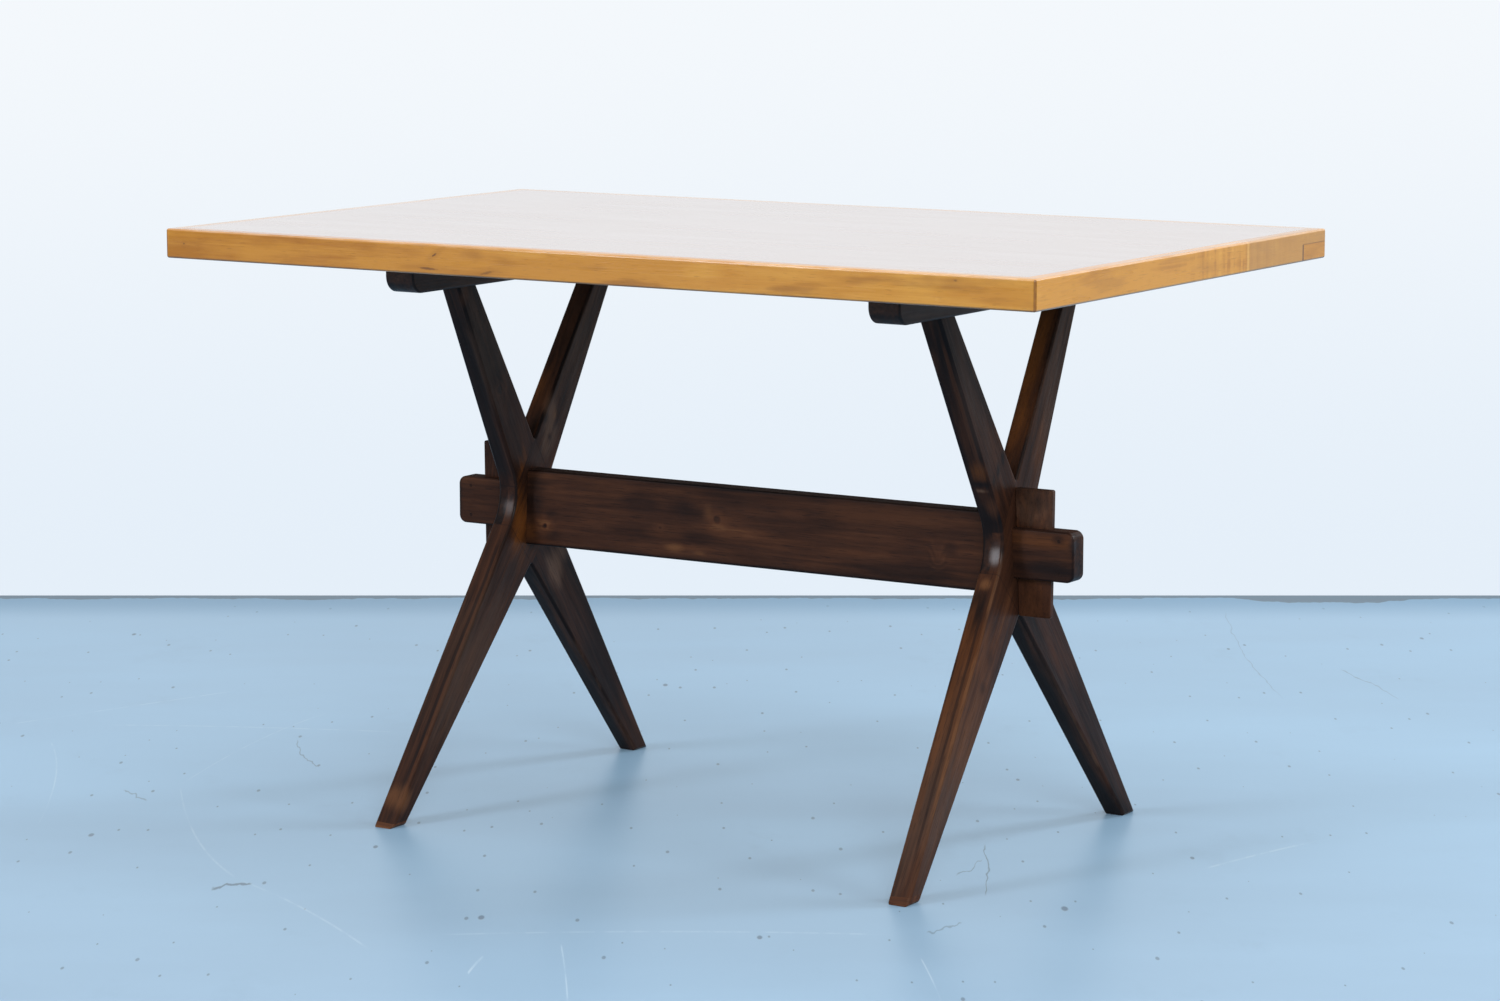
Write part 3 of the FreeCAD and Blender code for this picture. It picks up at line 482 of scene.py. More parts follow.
def stained_material(
    name, turn, seed, pith=(0.05, 0.09), ring_width=0.009, shift=0.0, knots=(), patches=(), edge=None,
    wear=None, seams=False, gloss=(0.30, 0.46), bands=None, shorten=1.0, worn_tint="dusty", polished=None,
    streaks=(), side=0, shine=0.085,
):
    """Dark stained pine under a worn satin varnish.

    shift makes the stain lighter. shorten is Grain's.
    knots are (centre, radii, depth of the middle), patches are (centre, radii, colour, share), all in metres.
    A patch with a fifth value, 1 or -1, stays on the trestle's face that looks to +X or to -X.
    streaks run down a leg of the trestle on side: (place across its thickness, half width, bottom, top,
    colour, share), in millimetres.
    edge makes the mask of the rounded edges, which are rubbed to worn_tint below wear's first height and dark
    above its second, or dark all over without wear.
    bands are the heights of a lower and an upper edge along which the colour is darker: darker stain, and
    painted shade on those edges.
    polished is (centre, radii) of a place rubbed glossy by handling.
    gloss is the range of the varnish's roughness, and shine its specular level.
    """
    material, s = new_material(name)
    start = s.place()
    bends = []
    reaches = []
    for centre, radii, depth in knots:
        away = s.distance(start, centre, radii)
        reaches.append((away, depth))
        bends.append((away, ring_width * 1.6))
    grain = Grain(s, turn, seed, pith, ring_width, bends, shorten)
    calm = grain.fibres((2.0, 9.0, 9.0), 1.0)
    tone = grain.figure(s.math("MULTIPLY", s.math("MULTIPLY", grain.rings, calm), 0.16), STAINED_FIGURE)
    tone = s.math("ADD", tone, shift)
    _, _, height = s.split(grain.place)
    for away, depth in reaches:
        swirl = s.math("MULTIPLY_ADD", grain.fibres((40.0, 40.0, 40.0), 2.0), 0.9, away)
        tone = s.math("ADD", tone, s.span(swirl, 0.9, 3.4, 0.22 * depth, 0.0))
        tone = s.math("ADD", tone, s.span(swirl, 0.55, 1.15, -0.60 * depth, 0.0))
    if bands is not None:
        # Darker stain and painted shade: the colour is darkened along the bands' two edges.
        bottom_edge, top_edge = bands
        near_top = s.span(height, top_edge - 6 * MM, top_edge - 1 * MM, 0.0, 0.4)
        near_bottom = s.span(height, bottom_edge + 1 * MM, bottom_edge + 6 * MM, 1.0, 0.0)
        tone = s.math("MULTIPLY_ADD", s.math("MAXIMUM", near_top, near_bottom), -0.30, tone)
    worn = None
    if edge is not None:
        mask = edge(s)
        breakup = s.noise(s.vector("MULTIPLY", grain.local, (14.0, 60.0, 60.0)), 1.0, 3.0, 0.6)
        rubbed = s.span(height, wear[0], wear[1], 1.0, 0.0) if wear else 0.0
        worn = s.math("MULTIPLY", s.math("MULTIPLY", mask, s.span(breakup, 0.36, 0.62)), rubbed)
        # Darker stain and painted shade: rounded edges above the wear are darkened.
        darkened = s.math("MULTIPLY", mask, s.math("SUBTRACT", 1.0, rubbed))
        tone = s.math("MULTIPLY_ADD", darkened, -0.22, tone)
    colour = s.ramp(tone, [
        (0.14, STAIN["night"]), (0.28, STAIN["black"]), (0.42, STAIN["dark"]), (0.58, STAIN["brown"]),
        (0.78, STAIN["red"]), (1.00, STAIN["tan"]),
    ])
    for centre, radii, tint, share, *facing in patches:
        away = s.distance(grain.place, centre, radii)
        broken = s.math("MULTIPLY_ADD", grain.fibres((10.0, 60.0, 60.0), 3.0), 0.8, away)
        broken = s.math("MULTIPLY_ADD", grain.fibres((9.0, 260.0, 260.0), 2.0), 0.3, broken)
        mask = s.span(broken, 0.7, 1.9, share, 0.0)
        for face in facing:
            looks, _, _ = s.split(normal_of(s))
            mask = s.math("MULTIPLY", mask, s.span(s.math("MULTIPLY", looks, face), 0.80, 0.97))
        colour = s.mix(mask, colour, STAIN[tint])
    for place_across, half_width, bottom, top, tint, share in streaks:
        across, _, _ = s.split(grain.place)
        across = s.math("MULTIPLY_ADD", height, side * math.tan(SPLAY), across)
        across = s.math("SUBTRACT", across, BASE_CENTRE + side * FOOT_SPREAD + place_across * MM)
        across = s.math("MULTIPLY_ADD", grain.fibres((14.0, 0.0, 0.0), 2.0), 1.2 * half_width * MM, across)
        mask = s.span(s.math("ABSOLUTE", across), half_width * MM, 2.2 * half_width * MM, share, 0.0)
        mask = s.math("MULTIPLY", mask, s.span(height, bottom * MM, (bottom + 40) * MM))
        mask = s.math("MULTIPLY", mask, s.span(height, (top - 30) * MM, top * MM, 1.0, 0.0))
        colour = s.mix(mask, colour, STAIN[tint])
    if worn is not None:
        colour = s.mix(s.math("MULTIPLY", worn, 0.55), colour, STAIN[worn_tint])
    pores = grain.fibres((40.0, 800.0, 800.0), 1.0)
    colour = s.mix(s.span(pores, 0.70, 0.92, 0.0, 0.40), colour, STAIN["night"])
    if seams:
        colour = s.mix(s.math("MULTIPLY", lap_seam(s, grain.place), 0.40), colour, STAIN["night"])
    fine = s.math("MULTIPLY_ADD", grain.rings, 0.3, grain.fibres((12.0, 420.0, 420.0), 2.0))
    normal = s.bump(fine, 0.14, 0.0006)
    dents = s.noise(s.vector("MULTIPLY", grain.local, (16.0, 42.0, 42.0)), 1.0, 2.0)
    normal = s.bump(dents, 0.18, 0.006, normal)
    roughness = s.span(grain.fibres((5.0, 26.0, 26.0), 2.0), 0.0, 1.0, gloss[0], gloss[1])
    dull = upward(s)
    # Painted shade: faces that look straight up are darkened in colour; they are also made rough.
    colour = s.mix(s.math("MULTIPLY", dull, 0.4), colour, STAIN["night"])
    roughness = s.math("MAXIMUM", roughness, s.math("MULTIPLY", dull, 0.95))
    sockets = {}
    if polished is not None:
        handled = s.distance(grain.place, *polished)
        sockets["Coat_Weight"] = s.span(handled, 0.3, 1.0, 0.75, 0.0)
        sockets["Coat_Roughness"] = 0.24
    s.surface(colour, roughness, normal, IOR=1.48, Specular_IOR_Level=shine, **sockets)
    return material


def leg_edges(side):
    """The rounded-edge mask of one trestle: side is 1 for the right one, -1 for the left."""
    lean = (side * math.cos(SPLAY), 0.0, math.sin(SPLAY))
    return lambda s: leaning_arris(s, lean)


def on_trestle(side, y, z, face=1):
    """A point on a trestle's +X (face 1) or -X face, from millimetres across and up."""
    middle = BASE_CENTRE + side * (FOOT_SPREAD - math.tan(SPLAY) * z * MM)
    return (middle + face * HALF_LEG, y * MM, z * MM)


# ---------------------------------------------------------------- screws and core board

STEEL_BRIGHT = (0.46, 0.44, 0.41)
STEEL_TARNISHED = (0.20, 0.17, 0.14)
BOARD_DARK = (0.42, 0.29, 0.17)
BOARD_PALE = (0.62, 0.48, 0.33)


def steel_material(name):
    """Dull screw steel, tarnished in places."""
    material, s = new_material(name)
    place = s.place()
    tarnish = s.noise(place, 260.0, 3.0)
    colour = s.mix(s.span(tarnish, 0.35, 0.7), STEEL_BRIGHT, STEEL_TARNISHED)
    scratches = s.noise(s.vector("MULTIPLY", place, (300.0, 300.0, 2400.0)), 1.0, 2.0)
    normal = s.bump(scratches, 0.3, 0.0002)
    s.surface(colour, s.span(tarnish, 0.3, 0.7, 0.30, 0.52), normal, Metallic=1.0)
    return material


def core_material(name):
    """Board of pressed chips."""
    material, s = new_material(name)
    place = s.place()
    chips = s.add("ShaderNodeTexVoronoi")
    s.join(chips.inputs["Vector"], s.vector("MULTIPLY", place, (150.0, 150.0, 420.0)))
    s.join(chips.inputs["Scale"], 1.0)
    colour = s.mix(s.noise(place, 180.0, 3.0), BOARD_DARK, BOARD_PALE)
    colour = s.mix(0.35, colour, chips.outputs["Color"], "SOFT_LIGHT")
    s.surface(colour, 0.8, s.bump(chips.outputs["Distance"], 0.5, 0.0006))
    return material


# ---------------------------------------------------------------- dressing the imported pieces


def dress(node, material):
    """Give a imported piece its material. Its shape stays as it is."""
    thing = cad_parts[node]
    thing.data.materials.clear()
    thing.data.materials.append(material)


dress("top_veneer", veneer_material("veneer_top", 1.0, VENEER_TOP))
dress("underside_veneer", veneer_material("veneer_underside", 6.0, VENEER_UNDERSIDE))
dress("top_panel", core_material("core"))
dress("lipping_front", lipping_material(
    "edge_front", ALONG_X, 2.0, FRONT_MARKS, smear=0.55, lift=(-0.30, 0.42),
    stain=(1.02, 0.93, 0.72), lacquer=0.6,
))
dress("lipping_back", lipping_material("edge_back", ALONG_X, 3.0))
dress("lipping_left", lipping_material("edge_left", ALONG_Y, 4.0))
dress("lipping_right", lipping_material(
    "edge_right", ALONG_Y, 5.0, end_grain=True, seam=True, stain=(1.20, 1.13, 0.80), lacquer=0.6,
))
dress("lipping_patch", lipping_material(
    "edge_patch", ALONG_Y, 9.0, seam=True, stain=(1.05, 0.95, 0.70), lacquer=0.6,
))

for side, name in ((1, "right"), (-1, "left")):
    dress(f"cleat_{name}", stained_material(
        f"cleat_{name}_wood", ALONG_Y, 10.0 + side, shift=0.10, edge=arris, gloss=(0.34, 0.5), shine=0.18,
    ))
    dress(f"cleat_screws_{name}", steel_material(f"screws_{name}"))
    dress(f"tenon_pins_{name}", stained_material(
        f"pins_{name}", ALONG_Y, 14.0 + side, shift=-0.22, ring_width=0.002, gloss=(0.4, 0.5),
    ))
    dress(f"foot_tip_{name}_front", stained_material(
        f"tip_{name}_wood", ALONG_X, 44.0 + side, shift=0.36, edge=leg_edges(side), wear=(0.02, 0.03),
    ))


def on_stretcher(x, z):
    """A point on the stretcher's front face, from millimetres along and up."""
    return (x * MM, STRETCHER_FACE, z * MM)


def on_key(x, z):
    """A point on the right key's front face, from millimetres along and up."""
    return (x * MM, KEY_FACE, z * MM)


def mm(x, y, z):
    """Three lengths in millimetres, as metres."""
    return (x * MM, y * MM, z * MM)


def blob(length, height):
    """Radii of a mark on a piece that runs along X."""
    return mm(length, 40, height)


def through(length, height):
    """Radii of a mark that goes through a trestle."""
    return mm(60, length, height)


def on_face(length, height, reach=9):
    """Radii of a mark on one of a trestle's two faces, reaching that many millimetres round its arris."""
    return mm(reach, length, height)


def waist_polish(side):
    """The place at a trestle's front waist that hands have rubbed glossy."""
    return (on_trestle(side, -29, 368, 0.35), mm(12, 26, 24))


TENON_POLISH = (mm(474, -13, 388), mm(20, 11, 24))
ALONG_KEY = (0.0, -math.pi / 2, 0.0)

dress("stretcher", stained_material(
    "stretcher_wood", ALONG_X, 21.0, pith=(0.030, 0.30), ring_width=0.010, shift=0.10, edge=arris,
    bands=(STRETCHER_BOTTOM, STRETCHER_TOP), polished=TENON_POLISH,
    knots=[
        (on_stretcher(-291.5, 346.2), blob(7.0, 7.0), 1.0),
        (on_stretcher(-33.2, 375.4), blob(8.0, 6.0), 1.0),
        (on_stretcher(-117.3, 357.1), blob(5.0, 3.5), 0.5),
        (on_stretcher(279.6, 357.9), blob(5.0, 9.0), 0.35),
    ],
    patches=[
        (on_stretcher(210.0, 398.0), blob(130, 13), "red", 0.70),
        (on_stretcher(230.0, 334.0), blob(120, 16), "black", 0.75),
        # Painted shade with darker stain: the stretcher's left end is darkened where it meets the trestle.
        (on_stretcher(-309.0, 372.0), blob(20, 40), "black", 0.80),
        (on_stretcher(-95.1, 334.5), blob(15, 6), "tan", 0.62),
        (on_stretcher(-58.0, 330.0), blob(12, 4), "tan", 0.40),
        (on_stretcher(-20.0, 372.0), blob(34, 11), "red", 0.55),
        (on_stretcher(-46.0, 384.0), blob(9, 12), "tan", 0.30),
        (on_stretcher(-110.0, 352.0), blob(26, 8), "red", 0.40),
        (on_stretcher(-147.0, 384.0), blob(26, 16), "night", 0.45),
        (on_stretcher(-82.0, 388.0), blob(22, 14), "night", 0.45),
        (on_stretcher(-60.0, 350.0), blob(20, 9), "night", 0.35),
        (on_stretcher(-316.0, 337.0), blob(14, 12), "glow", 0.45),
        (on_stretcher(-284.0, 360.0), blob(16, 9), "night", 0.45),
        (on_stretcher(-280.0, 334.0), blob(16, 6), "night", 0.40),
        (on_stretcher(79.5, 389.7), blob(20, 8), "red", 0.35),
        (on_stretcher(157.3, 404.0), blob(34, 14), "red", 0.30),
        (on_stretcher(262.0, 345.0), blob(40, 20), "night", 0.25),
        (on_stretcher(290.0, 360.0), blob(12, 12), "red", 0.40),
        (on_stretcher(296.0, 366.0), blob(10, 9), "night", 0.45),
        (on_stretcher(415.0, 386.0), blob(50, 9), "glow", 0.36),
        (on_stretcher(428.0, 355.0), blob(60, 20), "night", 0.85),
        (on_stretcher(441.0, 391.0), blob(9, 6), "night", 0.60),
        (on_stretcher(466.0, 369.0), blob(9, 70), "night", 0.90),
        (on_stretcher(-428.0, 369.0), blob(7, 70), "night", 0.85),
    ],
))

dress("leg_right_front", stained_material(
    "leg_right_front_wood", along_leg(-1), 31.0, shift=0.04, edge=leg_edges(1), wear=(0.30, 0.40), seams=True,
    worn_tint="tan", polished=waist_polish(1), side=1,
    streaks=[
        (-5, 2.2, 60, 330, "glow", 0.30),
        (6, 1.2, 30, 335, "night", 0.55),
        (-11, 1.4, 90, 300, "night", 0.45),
    ],
    patches=[
        (on_trestle(1, -190, 130), through(130, 140), "dusty", 0.42),
        (on_trestle(1, -150, 200, 0), through(60, 110), "glow", 0.38),
        (on_trestle(1, -100, 270), through(30, 60), "glow", 0.38),
        (on_trestle(1, -52, 338, -1), mm(34, 16, 26), "red", 0.60),
        (on_trestle(1, -24, 372), on_face(13, 80), "brown", 0.45),
        (on_trestle(1, -57, 336, 0.0), mm(7, 8, 8), "tan", 0.75),
        (on_trestle(1, -77, 254), through(10, 12), "black", 0.45),
        (on_trestle(1, -96, 221), through(8, 10), "black", 0.50),
        (on_trestle(1, 100, 560, -1), mm(22, 90, 150), "glow", 0.95),
        (on_trestle(1, 30, 470, -1), mm(24, 30, 40), "night", 0.25),
        (on_trestle(1, 52, 492, 0), mm(16, 26, 60), "glow", 0.70),
        (on_trestle(1, 100, 560), on_face(60, 120), "dusty", 0.16, 1),
        (on_trestle(1, -2, 330), on_face(22, 26), "black", 0.50, 1),
    ],
))
dress("leg_right_back", stained_material(
    "leg_right_back_wood", along_leg(1), 34.0, shift=-0.04, edge=leg_edges(1), wear=(0.05, 0.30), seams=True,
    knots=[(on_trestle(1, 52, 462), on_face(5, 5), 0.6)], polished=waist_polish(1), side=1,
    streaks=[
        (9, 1.6, 470, 640, "red", 0.35),
        (-9, 3.0, 400, 600, "night", 0.60),
        (-4, 8.0, -30, 300, "night", 0.95),
    ],
    patches=[
        (on_trestle(1, -42, 415, -1), mm(20, 26, 36), "night", 0.80),
        (on_trestle(1, -36, 405, 0), mm(14, 20, 26), "night", 0.80),
        (on_trestle(1, -125, 560, -0.5), mm(20, 60, 130), "night", 0.60),
        (on_trestle(1, -80, 490, -0.8), mm(14, 30, 40), "night", 0.60),
        (on_trestle(1, -72, 474, 0.3), mm(12, 10, 18), "glow", 0.45),
        (on_trestle(1, -49, 432, 0.6), mm(8, 8, 22), "red", 0.55),
        (on_trestle(1, -65, 456, 0.2), mm(16, 9, 5.5), "night", 0.92),
        (on_trestle(1, -60, 448, 0.0), mm(8, 5, 3.0), "dusty", 0.85),
        (on_trestle(1, -27, 388, 0.6), mm(5, 5, 3), "dusty", 0.60),
        (on_trestle(1, -32, 484), on_face(5, 10, 7), "night", 0.85),
        (on_trestle(1, -44, 471), on_face(5, 10, 7), "night", 0.85),
        (on_trestle(1, -55, 460), on_face(5, 10, 7), "night", 0.85),
        (on_trestle(1, -145, 608, -1), on_face(18, 22), "red", 0.45),
        (on_trestle(1, -156, 629, -1), on_face(14, 14), "night", 0.45),
        (on_trestle(1, -24, 385), on_face(13, 60), "brown", 0.45),
        (on_trestle(1, 90, 230, -0.5), mm(16, 80, 120), "glow", 0.10),
        (on_trestle(1, 180, 130), on_face(120, 150), "night", 0.35),
        (on_trestle(1, -110, 560), on_face(60, 90), "grey", 0.30),
    ],
))
dress("leg_left_front", stained_material(
    "leg_left_front_wood", along_leg(-1), 37.0, shift=0.04, edge=leg_edges(-1), wear=(0.05, 0.42), seams=True,
    worn_tint="red", polished=waist_polish(-1), side=-1,
    streaks=[
        (8, 1.6, 30, 345, "night", 0.65),
        (11.5, 1.1, 40, 330, "red", 0.45),
        (-4, 2.0, 60, 300, "night", 0.35),
    ],
    patches=[
        (on_trestle(-1, -150, 170), on_face(120, 150), "dusty", 0.38),
        (on_trestle(-1, -120, 200, -1), mm(22, 120, 170), "dusty", 0.22),
        # Painted bounce light: an orange glow on the +X face beside the stretcher.
        (on_trestle(-1, -30, 352), on_face(19, 46), "painted_bounce_amber", 0.38, 1),
        (on_trestle(-1, 100, 560), on_face(60, 110), "dusty", 0.30, 1),
        (on_trestle(-1, -262, 34, 0), through(14, 18), "tan", 0.50),
        (on_trestle(-1, 36, 470), on_face(15, 36), "dusty", 0.85),
        (on_trestle(-1, 25, 440), on_face(10, 16), "dusty", 0.70),
        (on_trestle(-1, 33, 452), on_face(5, 6), "black", 0.70),
        (on_trestle(-1, 44, 478), on_face(5, 9), "tan", 0.40),
        (on_trestle(-1, 21, 478), on_face(8, 8), "night", 0.60),
        (on_trestle(-1, 8, 428), on_face(14, 14), "grey", 0.45),
        (on_trestle(-1, 42, 500, -1), mm(22, 30, 50), "glow", 0.70),
    ],
))
dress("leg_left_back", stained_material(
    "leg_left_back_wood", along_leg(1), 40.0, shift=-0.06, edge=leg_edges(-1), wear=(0.05, 0.30), seams=True,
    knots=[(on_trestle(-1, -80, 526), on_face(8, 9), 0.9)], polished=waist_polish(-1), side=-1,
    streaks=[
        (-2, 8.0, 400, 640, "night", 0.75),
        (-4, 8.0, -30, 320, "night", 0.90),
    ],
    patches=[
        # Painted bounce light: an orange glow on the +X face beside the stretcher.
        (on_trestle(-1, -24, 376), on_face(13, 58), "painted_bounce_amber", 0.42, 1),
        (on_trestle(-1, 180, 130), on_face(120, 150), "night", 0.80),
        (on_trestle(-1, 90, 230, -0.5), mm(16, 80, 120), "glow", 0.25),
        (on_trestle(-1, -110, 570), on_face(60, 110), "dusty", 0.28),
        (on_trestle(-1, -44, 420, -1), mm(24, 30, 40), "night", 0.70),
        (on_trestle(-1, -160, 654), on_face(8, 24), "red", 0.60),
        (on_trestle(-1, -84, 540), on_face(16, 16), "night", 0.50),
        (on_trestle(-1, -66, 505), on_face(8, 24), "red", 0.35),
        (on_trestle(-1, -60, 470), on_face(50, 90), "brown", 0.45),
        (on_trestle(-1, 56, 284), on_face(20, 30), "dusty", 0.80),
        (on_trestle(-1, 7, 296), on_face(7, 12), "night", 0.60),
    ],
))
dress("key_left", stained_material(
    "key_left_wood", ALONG_KEY, 49.0, ring_width=0.006, edge=arris, shorten=4.0,
))
dress("key_right", stained_material(
    "key_right_wood", ALONG_KEY, 51.0, ring_width=0.012, edge=arris, shift=0.12,
    wear=(0.40, 0.43), worn_tint="red", shorten=5.0,
    patches=[
        (on_key(405, 425), mm(50, 20, 30), "dusty", 0.36),
        (on_key(425, 312), mm(50, 20, 24), "red", 0.35),
        (on_key(408, 430), mm(16, 20, 12), "night", 0.35),
    ],
))

# ---------------------------------------------------------------- floor

WALL_DISTANCE = 1.597
FLOOR_REACH = 9.0
FLOOR_DROP = 0.2 * MM

# Painted light: the floor is lighter and bluer away from the camera, towards the wall.
FLOOR_NEAR = (0.336, 0.502, 0.660)
FLOOR_FAR = (0.342, 0.536, 0.712)
FLOOR_FADE = (-1.4, 0.6)
FLOOR_CLOUD_DARK = (0.940, 0.948, 0.955)
FLOOR_CLOUD_LIGHT = (1.060, 1.052, 1.045)
FLOOR_STAIN = (0.20, 0.32, 0.44)
FLOOR_PIT = (0.10, 0.15, 0.21)
FLOOR_SCRATCH = (0.66, 0.79, 0.88)
FLOOR_CRACK = (0.13, 0.20, 0.27)
# Painted shade: a darker band along the wall's foot, and a dark line in the crease there.
WALL_BAND = (0.158, 0.335, 0.505)
WALL_BAND_FADE = (WALL_DISTANCE - 0.24, WALL_DISTANCE - 0.03)
WALL_LINE = (0.060, 0.120, 0.170)
WALL_LINE_WIDTH = (17 * MM, 44 * MM)
WALL_DARK_PLACE = 0.94
WALL_DARK_FADE = (0.04, 0.16)
WALL_DARK_EXTRA = 40 * MM

# Pits: cells in a metre, largest radius in cells, share of the cells with one, depth of colour.
FLOOR_PITS = [
    ((19.0, 6.0, 1.0), 0.058, 0.60, 0.85),
    ((6.0, 2.2, 1.0), 0.030, 0.40, 1.0),
]
# Marks in the floor's paint: start and end in metres on its own plane, bow to the left in metres, half width
# in millimetres, depth of colour. Distances beside a mark are measured on the squashed plane.
FLOOR_SCRATCHES = [
    ((-1.03, 0.56), (-0.73, 0.81), 0.00, 1.0, 0.30),
    ((-0.89, 0.565), (-0.47, 0.515), 0.002, 1.0, 0.30),
    ((-0.35, -0.575), (0.17, -0.575), 0.003, 1.0, 0.30),
    ((-0.945, 0.464), (-0.875, -0.042), 0.012, 1.2, 0.45),
    ((-0.73, 0.185), (-0.591, -0.323), -0.012, 1.2, 0.40),
    ((-0.591, -0.323), (-0.41, -0.64), 0.004, 1.1, 0.35),
    ((-0.73, 0.185), (-0.584, 0.653), 0.010, 1.0, 0.30),
    ((0.536, -0.274), (0.699, -0.122), 0.001, 1.1, 0.40),
    ((-0.297, -0.74), (-0.284, -0.665), 0.001, 1.8, 0.70),
    ((-0.203, -0.61), (-0.185, -0.85), 0.001, 1.2, 0.60),
    ((0.190, -0.67), (0.205, -0.85), 0.001, 1.2, 0.60),
]
FLOOR_CRACKS = [
    ((0.288, -0.15), (0.276, -0.40), 0.004, 0.9, 0.75),
    ((0.282, -0.22), (0.245, -0.30), 0.002, 0.8, 0.60),
    ((-0.61, 0.47), (-0.56, 0.30), -0.006, 0.9, 0.65),
    ((-0.62, -0.365), (-0.575, -0.345), 0.001, 1.8, 0.90),
    ((0.763, 1.46), (0.766, 0.74), -0.015, 1.0, 0.40),
    ((0.876, 0.96), (0.93, 0.74), 0.004, 1.0, 0.50),
    ((0.20, -0.58), (0.245, -0.52), 0.001, 1.0, 0.55),
    ((-0.76, 0.10), (-0.80, 0.16), 0.001, 1.0, 0.55),
]
# The second axis of that plane, away from the camera, is shortened by this.
FLOOR_SQUASH = 0.2


def stroke(s, plane, start, end, bow, half_width, depth):
    """depth on a bowed line from start to end, 0 beside it, on the plane that FLOOR_SQUASH has squashed."""
    start = Vector((start[0], start[1] * FLOOR_SQUASH))
    reach = Vector((end[0], end[1] * FLOOR_SQUASH)) - start
    frame_of_line = ((*start, 0.0), (0.0, 0.0, math.atan2(reach.y, reach.x)), (reach.length, 1.0, 1.0))
    along, away, _ = s.split(s.turned(plane, *frame_of_line))
    curve = s.math("MULTIPLY", along, s.math("SUBTRACT", 1.0, along))
    away = s.math("ABSOLUTE", s.math("MULTIPLY_ADD", curve, -4 * bow, away))
    ends = s.math("MULTIPLY", s.span(along, 0.0, 0.1), s.span(along, 0.9, 1.0, 1.0, 0.0))
    line = s.span(away, 0.3 * half_width * MM, half_width * MM, depth, 0.0)
    return s.math("MULTIPLY", line, ends)


def floor_material():
    """Pale blue painted concrete with faint clouds, pits, cracks and scratches, painted lighter towards the
    wall as painted light, and darker along the wall as painted shade.
    """
    material, s = new_material("painted_floor")
    place = s.place()
    side, depth, _ = s.split(place)
    clouds = s.noise(s.vector("MULTIPLY", place, (0.9, 2.0, 1.0)), 1.0, 4.0, 0.55)
    # Painted light: the colour grows lighter and bluer towards the wall.
    colour = s.mix(s.span(depth, *FLOOR_FADE), FLOOR_NEAR, FLOOR_FAR)
    shade = s.ramp(s.span(clouds, 0.3, 0.7), [(0.0, FLOOR_CLOUD_DARK), (1.0, FLOOR_CLOUD_LIGHT)])
    colour = s.mix(1.0, colour, shade, "MULTIPLY")
    stains = s.noise(s.vector("MULTIPLY", place, (5.0, 3.0, 1.0)), 1.0, 5.0, 0.7)
    colour = s.mix(s.span(stains, 0.56, 0.72, 0.0, 0.12), colour, FLOOR_STAIN)
    pitted = 0.0
    for cells, size, share, strength in FLOOR_PITS:
        pits = s.add("ShaderNodeTexVoronoi", voronoi_dimensions="2D")
        s.join(pits.inputs["Vector"], s.vector("MULTIPLY", place, cells))
        s.join(pits.inputs["Scale"], 1.0)
        red, green, _ = s.split(pits.outputs["Color"])
        few = s.math("LESS_THAN", red, share)
        reach = s.span(green, 0.0, 1.0, 0.25 * size, size, smooth=False)
        inside = s.math("DIVIDE", pits.outputs["Distance"], reach)
        pit = s.math("MULTIPLY", s.span(inside, 0.5, 1.0, strength, 0.0), few)
        pitted = s.math("MAXIMUM", pit, pitted)
    colour = s.mix(s.math("MULTIPLY", pitted, 0.75), colour, FLOOR_PIT)
    plane = s.vector("MULTIPLY", place, (1.0, FLOOR_SQUASH, 1.0))
    worn = s.span(s.noise(plane, 45.0, 3.0), 0.38, 0.60, 0.10, 0.75)
    for mark in FLOOR_SCRATCHES:
        colour = s.mix(s.math("MULTIPLY", stroke(s, plane, *mark), worn), colour, FLOOR_SCRATCH)
    jagged = s.vector("SUBTRACT", s.noise(plane, 70.0, output=1), (0.5, 0.5, 0.5))
    jagged = s.vector("MULTIPLY_ADD", jagged, (0.012, 0.012, 0.0), plane)
    for mark in FLOOR_CRACKS:
        colour = s.mix(stroke(s, jagged, *mark), colour, FLOOR_CRACK)
    # Painted shade: the band and the line along the wall's foot.
    band = s.span(depth, *WALL_BAND_FADE, 0.0, 0.90)
    colour = s.mix(band, colour, WALL_BAND)
    uneven = s.noise(s.vector("MULTIPLY", place, (3.4, 0.0, 0.0)), 1.0, 5.0, 0.75)
    thickness = s.span(uneven, 0.36, 0.66, *WALL_LINE_WIDTH)
    dark_place = s.math("ABSOLUTE", s.math("SUBTRACT", side, WALL_DARK_PLACE))
    thickness = s.math("ADD", thickness, s.span(dark_place, *WALL_DARK_FADE, WALL_DARK_EXTRA, 0.0))
    line = s.math("GREATER_THAN", s.math("ADD", depth, thickness), WALL_DISTANCE)
    colour = s.mix(s.math("MULTIPLY", line, 0.90), colour, WALL_LINE)
    height = s.math("MULTIPLY_ADD", pitted, -0.8, s.math("MULTIPLY", s.noise(place, 9.0, 3.0), 0.4))
    normal = s.bump(height, 0.12, 0.004)
    s.surface(colour, s.span(clouds, 0.3, 0.7, 0.35, 0.39), normal, IOR=1.45, Specular_IOR_Level=0.30)
    return material


floor_mesh = bpy.data.meshes.new("floor")
floor_mesh.from_pydata(
    [
        (-FLOOR_REACH, -FLOOR_REACH, 0.0), (FLOOR_REACH, -FLOOR_REACH, 0.0),
        (FLOOR_REACH, WALL_DISTANCE, 0.0), (-FLOOR_REACH, WALL_DISTANCE, 0.0),
    ],
    [], [(0, 1, 2, 3)],
)
floor = bpy.data.objects.new("floor", floor_mesh)
floor.location = (0.0, 0.0, -FLOOR_DROP)
floor.rotation_euler = (0.0, 0.0, CAMERA_TURN)
floor.data.materials.append(floor_material())
scene.collection.objects.link(floor)

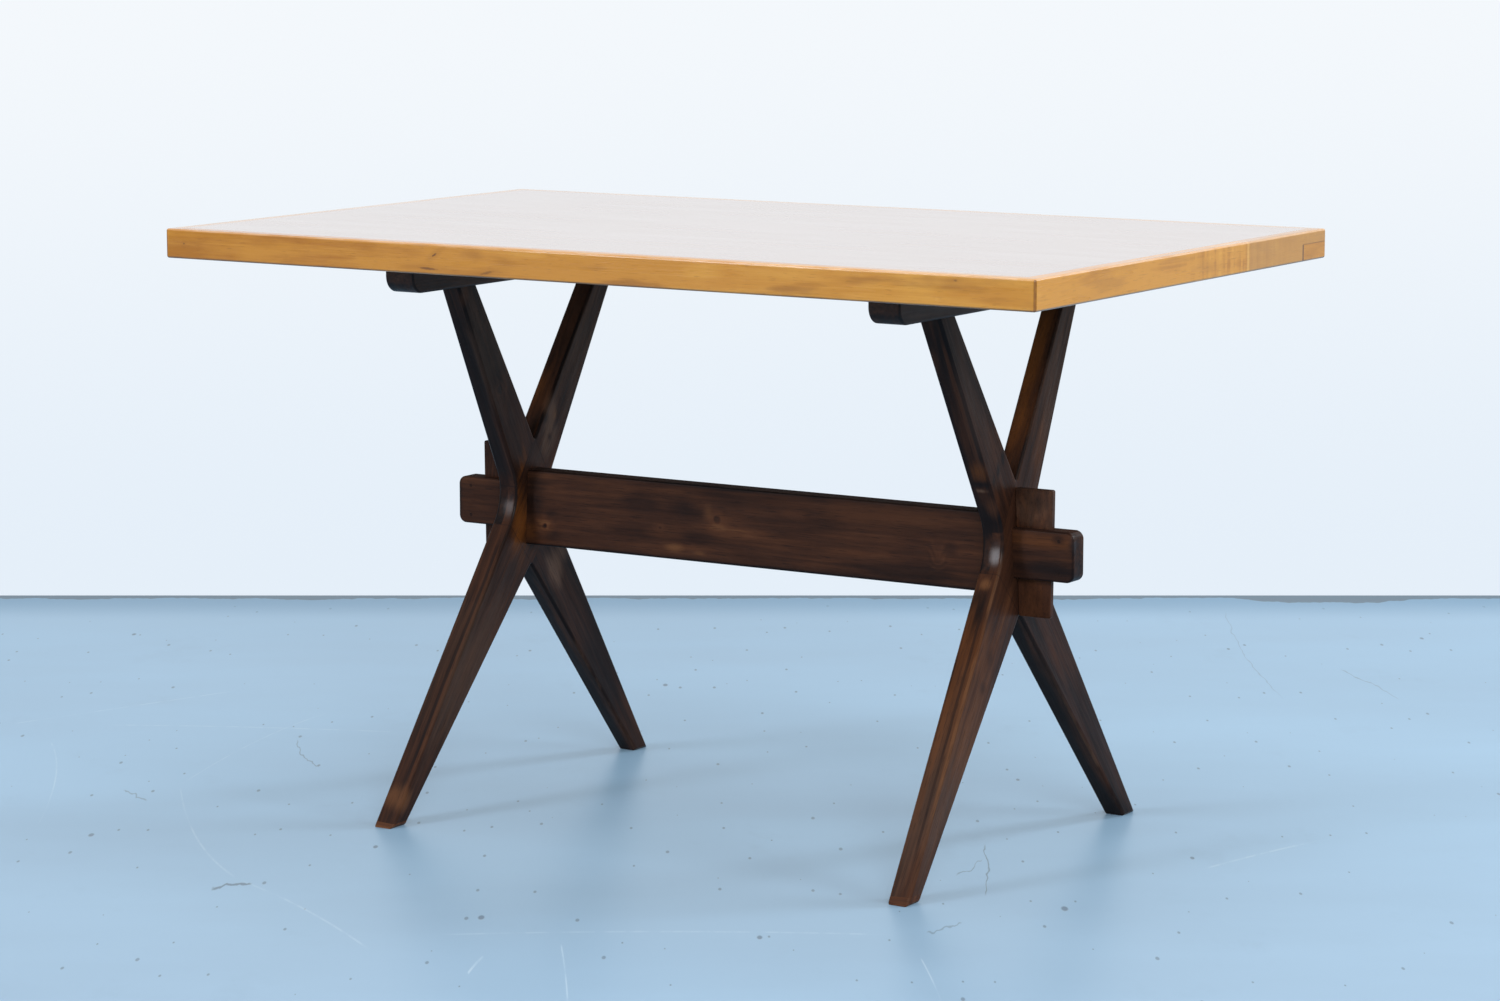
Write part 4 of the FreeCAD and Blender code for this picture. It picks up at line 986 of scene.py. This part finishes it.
# ---------------------------------------------------------------- light

ROOM_LIGHT = (0.93, 0.96, 1.0)
ROOM_STRENGTH = 0.42
TOWARDS_WALL = (-math.sin(CAMERA_TURN), math.cos(CAMERA_TURN), 0.0)
DIM_SIDE = 0.10
WALL_COLOUR_LOW = (0.785, 0.864, 0.948)
WALL_COLOUR_HIGH = (0.905, 0.940, 0.975)
WALL_FADE = (-0.17, -0.02)

# The world: plain soft light on the object, and for the camera and in mirrors a pale wall, which is dim in
# mirrors where no wall stands.
world = bpy.data.worlds.new("studio")
scene.world = world
world.use_nodes = True
w = Shader(world.node_tree)
direction = w.add("ShaderNodeTexCoord").outputs["Generated"]
_, _, rise = w.split(direction)
wall = w.mix(w.span(rise, *WALL_FADE), WALL_COLOUR_LOW, WALL_COLOUR_HIGH)
ray = w.add("ShaderNodeLightPath")
facing_wall = w.vector("DOT_PRODUCT", direction, TOWARDS_WALL, output=1)
dimmed = w.span(facing_wall, 0.1, 0.9, DIM_SIDE, 1.0)
dimmed = w.math("MAXIMUM", dimmed, w.span(rise, 0.45, 0.85))
unmirrored = w.math("SUBTRACT", 1.0, ray.outputs["Is Glossy Ray"])
seen = w.add("ShaderNodeBackground")
w.join(seen.inputs[0], wall)
w.join(seen.inputs[1], w.math("MAXIMUM", dimmed, unmirrored))
room = w.add("ShaderNodeBackground")
w.join(room.inputs[0], ROOM_LIGHT)
w.join(room.inputs[1], ROOM_STRENGTH)
looked_at = w.math("MAXIMUM", ray.outputs["Is Camera Ray"], ray.outputs["Is Glossy Ray"])
looked_at = w.math("MAXIMUM", looked_at, ray.outputs["Is Transmission Ray"])
both = w.add("ShaderNodeMixShader")
w.join(both.inputs[0], looked_at)
w.tree.links.new(room.outputs[0], both.inputs[1])
w.tree.links.new(seen.outputs[0], both.inputs[2])
w.tree.links.new(both.outputs[0], w.add("ShaderNodeOutputWorld").inputs[0])


def soft_lamp(name, place, target, width, height, power, colour=(1.0, 1.0, 1.0)):
    """A rectangular lamp that the camera doesn't see."""
    data = bpy.data.lights.new(name, "AREA")
    data.shape = "RECTANGLE"
    data.size = width
    data.size_y = height
    data.energy = power
    data.color = colour
    lamp = bpy.data.objects.new(name, data)
    lamp.location = place
    lamp.visible_camera = False
    lamp.rotation_euler = (Vector(target) - Vector(place)).to_track_quat("-Z", "Y").to_euler()
    scene.collection.objects.link(lamp)


def around(azimuth, distance, height):
    """A point at an azimuth in degrees, anticlockwise from +X seen from above."""
    turn = math.radians(azimuth)
    return (distance * math.cos(turn), distance * math.sin(turn), height)


LIT_POINT = (0.0, 0.0, 0.45)
soft_lamp("window_front_left", around(240, 5.1, 2.4), LIT_POINT, 0.9, 3.4, 100.0, (0.94, 0.94, 1.0))
soft_lamp("window_front_right", around(312, 6.0, 3.5), LIT_POINT, 2.4, 2.4, 156.0)
soft_lamp("window_right", around(6, 5.1, 2.8), LIT_POINT, 0.9, 2.4, 56.0)
soft_lamp("window_back_right", around(53, 5.0, 3.2), LIT_POINT, 1.2, 2.1, 96.0, (0.93, 0.95, 1.0))
soft_lamp("ceiling", (0.0, 0.0, 3.0), (0.0, 0.0, 0.0), 2.6, 1.8, 25.0)

# ---------------------------------------------------------------- last update of the scene

bpy.context.view_layer.update()
